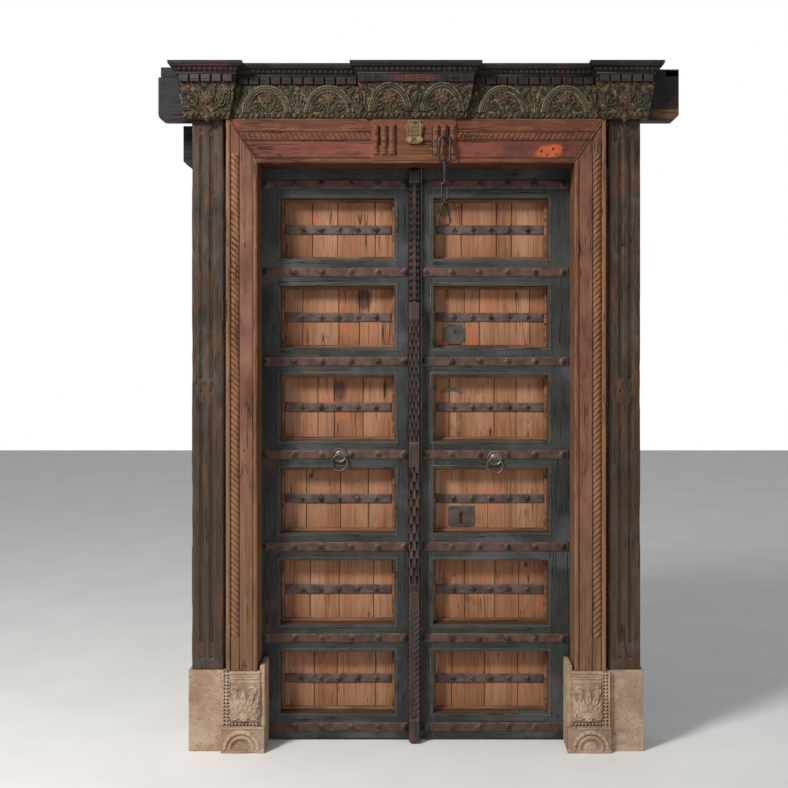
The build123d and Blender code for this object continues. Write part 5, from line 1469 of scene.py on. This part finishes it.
stoneSizes = {"step": 2.0, "inner": 531, "split": 660, "plinthInner": 517, "plinthTop": 88, "front": -138, "thick": 20,
              "panel": (106, 240), "border": 26, "lines": (248, 257, 266), "lowLine": 104, "toothColumns": (8, 20),
              "toothRow": 96, "toothPitch": 12.0, "archFoot": 14, "arches": ((64, 50, 7), (46, 34, 6), (24, 0, 6))}


def toothAt(across, up, depthHalf=4.2):
    # 1 inside small drilled teeth, wider at their foot
    return (np.abs(across) < 4.4 - 0.5 * (up + 4.0)) & (np.abs(up) < depthHalf)


def stoneField(label, sign):
    # upper carved front: leaves over scrolls, inside a border of teeth and lines
    look = stoneSizes
    n = int((look["split"] - look["inner"]) / look["step"])
    m = int((door["stoneTop"] - look["plinthTop"]) / look["step"])
    x, z = gridOf(look["inner"], look["split"], n, look["plinthTop"], door["stoneTop"], m)
    carving = Carving(x, z)
    middle = (look["inner"] + look["split"]) / 2 - 8
    for k in range(5):
        lean = (k - 2) / 5
        carving.leafAt(middle + lean * 40, 118, 90 - lean * 66, 104 - 40 * abs(lean), 13, 11, curl=-lean * 0.25, ribs=4)
    carving.flowerAt(middle, 122, 17, 11, petals=8)
    for turn in (-1, 1):
        carving.spiralAt(middle + turn * 34, 128, 15, 1.5, 3.8, 6.5, hand=turn, start=200)
        carving.spiralAt(middle + turn * 32, 212, 14, 1.5, 3.6, 6.0, hand=-turn, start=20)
        carving.leafAt(middle + turn * 20, 196, 90 - turn * 42, 34, 7, 8, ribs=3)
        carving.leafAt(middle + turn * 44, 150, 90 - turn * 8, 46, 8, 8, ribs=3)
    panelFoot, panelTop = look["panel"]
    borderX = look["split"] - look["border"]
    inside = x < borderX
    carving.height = carving.height * ((z < panelTop) * (z > panelFoot) * inside * (x > look["inner"] + 6))
    drill = np.zeros_like(x)
    pitch = look["toothPitch"]
    for column in look["toothColumns"]:
        local = np.mod(z - 92, pitch) - pitch / 2
        drill = np.maximum(drill, toothAt(x - (look["split"] - column), local) * 1.0)
    local = np.mod(x - look["inner"], pitch) - pitch / 2
    drill = np.maximum(drill, toothAt(local, z - look["toothRow"]) * inside)
    lines = sum(np.exp(-(((z - height) / 1.4) ** 2)) for height in look["lines"]) * inside
    lines = lines + np.exp(-(((x - borderX + 1) / 1.4) ** 2)) + np.exp(-(((z - look["lowLine"]) / 1.4) ** 2)) * inside
    worn = ramp(-0.2, 0.9, roughness(x, z, 60, 4, 71 + sign))
    front = look["front"] + 6.0 - carving.height * (1 - 0.6 * worn) + 5 * drill + 4 * np.clip(lines, 0, 1)
    front = front + 2.6 * roughness(x, z, 45, 4, 73) + 2.0 * ramp(0, 1, 1 - (door["stoneTop"] - z) / 10) ** 2
    chipped = np.clip(1 - (x - look["inner"]) / 10, 0, 1) ** 1.5
    front = front + 7 * chipped * ramp(-0.6, 0.6, roughness(x, z, 38, 3, 77 + sign))
    # painted shade: drilled teeth, cut lines and low carving get a low relief mark, which the stone colour darkens
    relief = np.clip(0.5 + carving.height / 13 - drill - np.clip(lines, 0, 1) * 0.6, 0, 1.2)
    relief = np.where((x > borderX) | (z > panelTop), np.maximum(relief, 0.8 * (1 - drill)), relief)
    x, z, front, relief = onSide(sign, x, z, front, relief)
    return board(f"stoneField{label}", x, z, front, look["front"] + look["thick"], {"relief": relief})


def stonePlinth(label, sign):
    # lower front: a half round of petals
    look = stoneSizes
    n = int((look["split"] + 4 - look["plinthInner"]) / look["step"])
    m = int(look["plinthTop"] / look["step"])
    x, z = gridOf(look["plinthInner"], look["split"] + 4, n, 0, look["plinthTop"], m)
    middle, foot = (look["inner"] + look["split"]) / 2, look["archFoot"]
    r = np.hypot(x - middle, z - foot)
    petals = 0.75 + 0.25 * np.abs(np.cos(9 * np.arctan2(z - foot, x - middle)))
    rise = np.zeros_like(x)
    for outer, inner, height in look["arches"]:
        ring = np.clip((outer - r) / 3, 0, 1) * np.clip((r - inner) / 3, 0, 1) * (z > foot)
        rise = np.maximum(rise, height * ring ** 0.5 * petals)
    rise = np.maximum(rise, 3 * (np.abs(z - 8) < 6))
    rise = np.maximum(rise, 2.5 * (z > look["plinthTop"] - 8))
    worn = ramp(-0.2, 0.9, roughness(x, z, 50, 4, 81 + sign))
    front = look["front"] + 4.0 - rise * (1 - 0.4 * worn) + 2.4 * roughness(x, z, 40, 4, 83)
    x, z, front, relief = onSide(sign, x, z, front, np.clip(0.5 + rise / 12, 0, 1.2))
    return board(f"stonePlinth{label}", x, z, front, look["front"] + look["thick"], {"relief": relief})


def stoneBase(side, sign):
    label = side.capitalize()
    carved = [stoneField(label, sign), stonePlinth(label, sign)]
    cut = leafY + (stoneSizes["front"] + stoneSizes["thick"] - 4) * mm
    body = wornCopy(f"stone_base_{side}", f"stoneBody{label}", 3.5 * mm, cutY=cut)
    markAll(body, relief=0.8)
    piece = joined(f"stoneBase{label}", [body, *carved])
    finish(piece, "door_frame", stoneMaterial, (f"stone_base_{side}",))


for side, sign in sides:
    stoneBase(side, sign)
print("stones done")


# chain and hasp at the head

chainSizes = {"sides": 12, "steps": 56}


def linkPath(lowCorner, highCorner, flatAxis, wire, taper=1.0):
    # rounded oval in the plane across the flat axis, narrower at the top by the taper
    middle = [(a + b) / 2 for a, b in zip(lowCorner, highCorner)]
    wide = 0 if flatAxis == 1 else 1
    half = (highCorner[wide] - lowCorner[wide]) / 2 - wire
    topHalf = half * taper
    top, foot = highCorner[2] - wire, lowCorner[2] + wire
    path = []
    steps = chainSizes["steps"] // 2
    for k in range(steps + 1):
        angle = math.pi * k / steps
        path.append((topHalf * math.cos(angle), top - topHalf + topHalf * math.sin(angle)))
    for k in range(steps + 1):
        angle = math.pi + math.pi * k / steps
        path.append((half * math.cos(angle), foot + half + half * math.sin(angle)))
    points = []
    for across, height in path:
        point = [middle[0], middle[1], height]
        point[wide] += across
        points.append(point)
    return points


def evenly(path, count):
    points = np.array(path + path[:1], dtype=float)
    lengths = np.concatenate([[0], np.cumsum(np.linalg.norm(np.diff(points, axis=0), axis=1))])
    places = np.linspace(0, lengths[-1], count, endpoint=False)
    return [[np.interp(p, lengths, points[:, a]) for a in range(3)] for p in places]


for node, flatAxis, taper in (("chain_link_1", 1, 1.0), ("chain_link_2", 0, 1.0), ("chain_link_3", 1, 0.8),
                              ("chain_ring", 0, 1.0), ("hasp_loop", 1, 0.55)):
    lowCorner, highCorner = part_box(node)
    wire = (highCorner[flatAxis] - lowCorner[flatAxis]) / 2
    path = evenly(linkPath(lowCorner, highCorner, flatAxis, wire, taper), chainSizes["steps"])
    piece = wired(camel(node), path, wire, chainSizes["sides"], chainIron, wobble=0.08, seed=len(node))
    finish(piece, node, chainIron, (node,))
dressedCopy("chain_staple", "chainStaple", "door_frame", chainIron, 0.5)
print("chain done")


# floor, light and camera

stageLook = {"floor": ((0.74, 0.73, 0.72), (0.78, 0.77, 0.76)), "reach": 12, "sky": (0.93, 0.97, 1.0, 1),
             "skyStrength": 0.34,
             "lamps": (("keyLight", (-2.8, -3.2, 4.3), 1.2, 310, (1.0, 0.97, 0.93)),
                       ("fillLight", (3.2, -3.8, 1.8), 3.0, 22, (0.94, 0.97, 1.0))),
             "target": (0, 0, 1.1), "lens": 53.75, "shift": (-0.028, -0.056), "eyeBack": 4.138, "eyeHeight": 1.373}


def aim(lamp, target):
    line = np.array(target) - np.array(lamp.location)
    flat = math.hypot(line[0], line[1])
    lamp.rotation_euler = (math.atan2(flat, -line[2]), 0, math.atan2(line[1], line[0]) - math.pi / 2)


def stageAndCamera():
    look, reach = stageLook, stageLook["reach"]
    corners = [(-reach, -reach, 0), (reach, -reach, 0), (reach, reach, 0), (-reach, reach, 0)]
    floor = addMesh("floor", corners, [[0, 1, 2, 3]])
    material, wire, place = newMaterial("paleFloor")
    colour = wire.noise(place, 3, 3).step(0.3, 0.7).mixed(*look["floor"])
    shader = wire.node("ShaderNodeBsdfPrincipled", {}, {"Base Color": colour, "Roughness": 0.8})
    wire.node("ShaderNodeOutputMaterial", {}, {"Surface": shader})
    floor.data.materials.append(material)

    world = bpy.data.worlds.new("softWorld")
    bpy.context.scene.world = world
    world.use_nodes = True
    world.node_tree.nodes.clear()
    sky = Wire(world.node_tree)
    # white for the camera, for gloss and through glass; a plain soft light for the rest
    camera, glossy, through = (sky.node("ShaderNodeLightPath", out=number) for number in (0, 3, 6))
    seen = camera.high(glossy).high(through)
    dim = sky.node("ShaderNodeBackground", {}, {"Color": look["sky"], "Strength": look["skyStrength"]})
    white = sky.node("ShaderNodeBackground", {}, {"Color": (1, 1, 1, 1), "Strength": 1.0})
    mixed = sky.node("ShaderNodeMixShader", {}, {0: seen, 1: dim, 2: white})
    sky.node("ShaderNodeOutputWorld", {}, {"Surface": mixed})

    for name, spot, width, power, tint in look["lamps"]:
        data = bpy.data.lights.new(name, "AREA")
        data.shape, data.size, data.energy, data.color = "DISK", width, power, tint
        lamp = newObject(name, data)
        lamp.location = spot
        aim(lamp, look["target"])

    data = bpy.data.cameras.new("camera")
    data.sensor_width, data.lens = 36, look["lens"]
    data.shift_x, data.shift_y = look["shift"]
    eye = newObject("camera", data)
    eye.location = (doorX, leafY - look["eyeBack"], look["eyeHeight"])
    eye.rotation_euler = (math.radians(90), 0, 0)
    bpy.context.scene.camera = eye


stageAndCamera()
bpy.context.scene.view_settings.view_transform = "Standard"
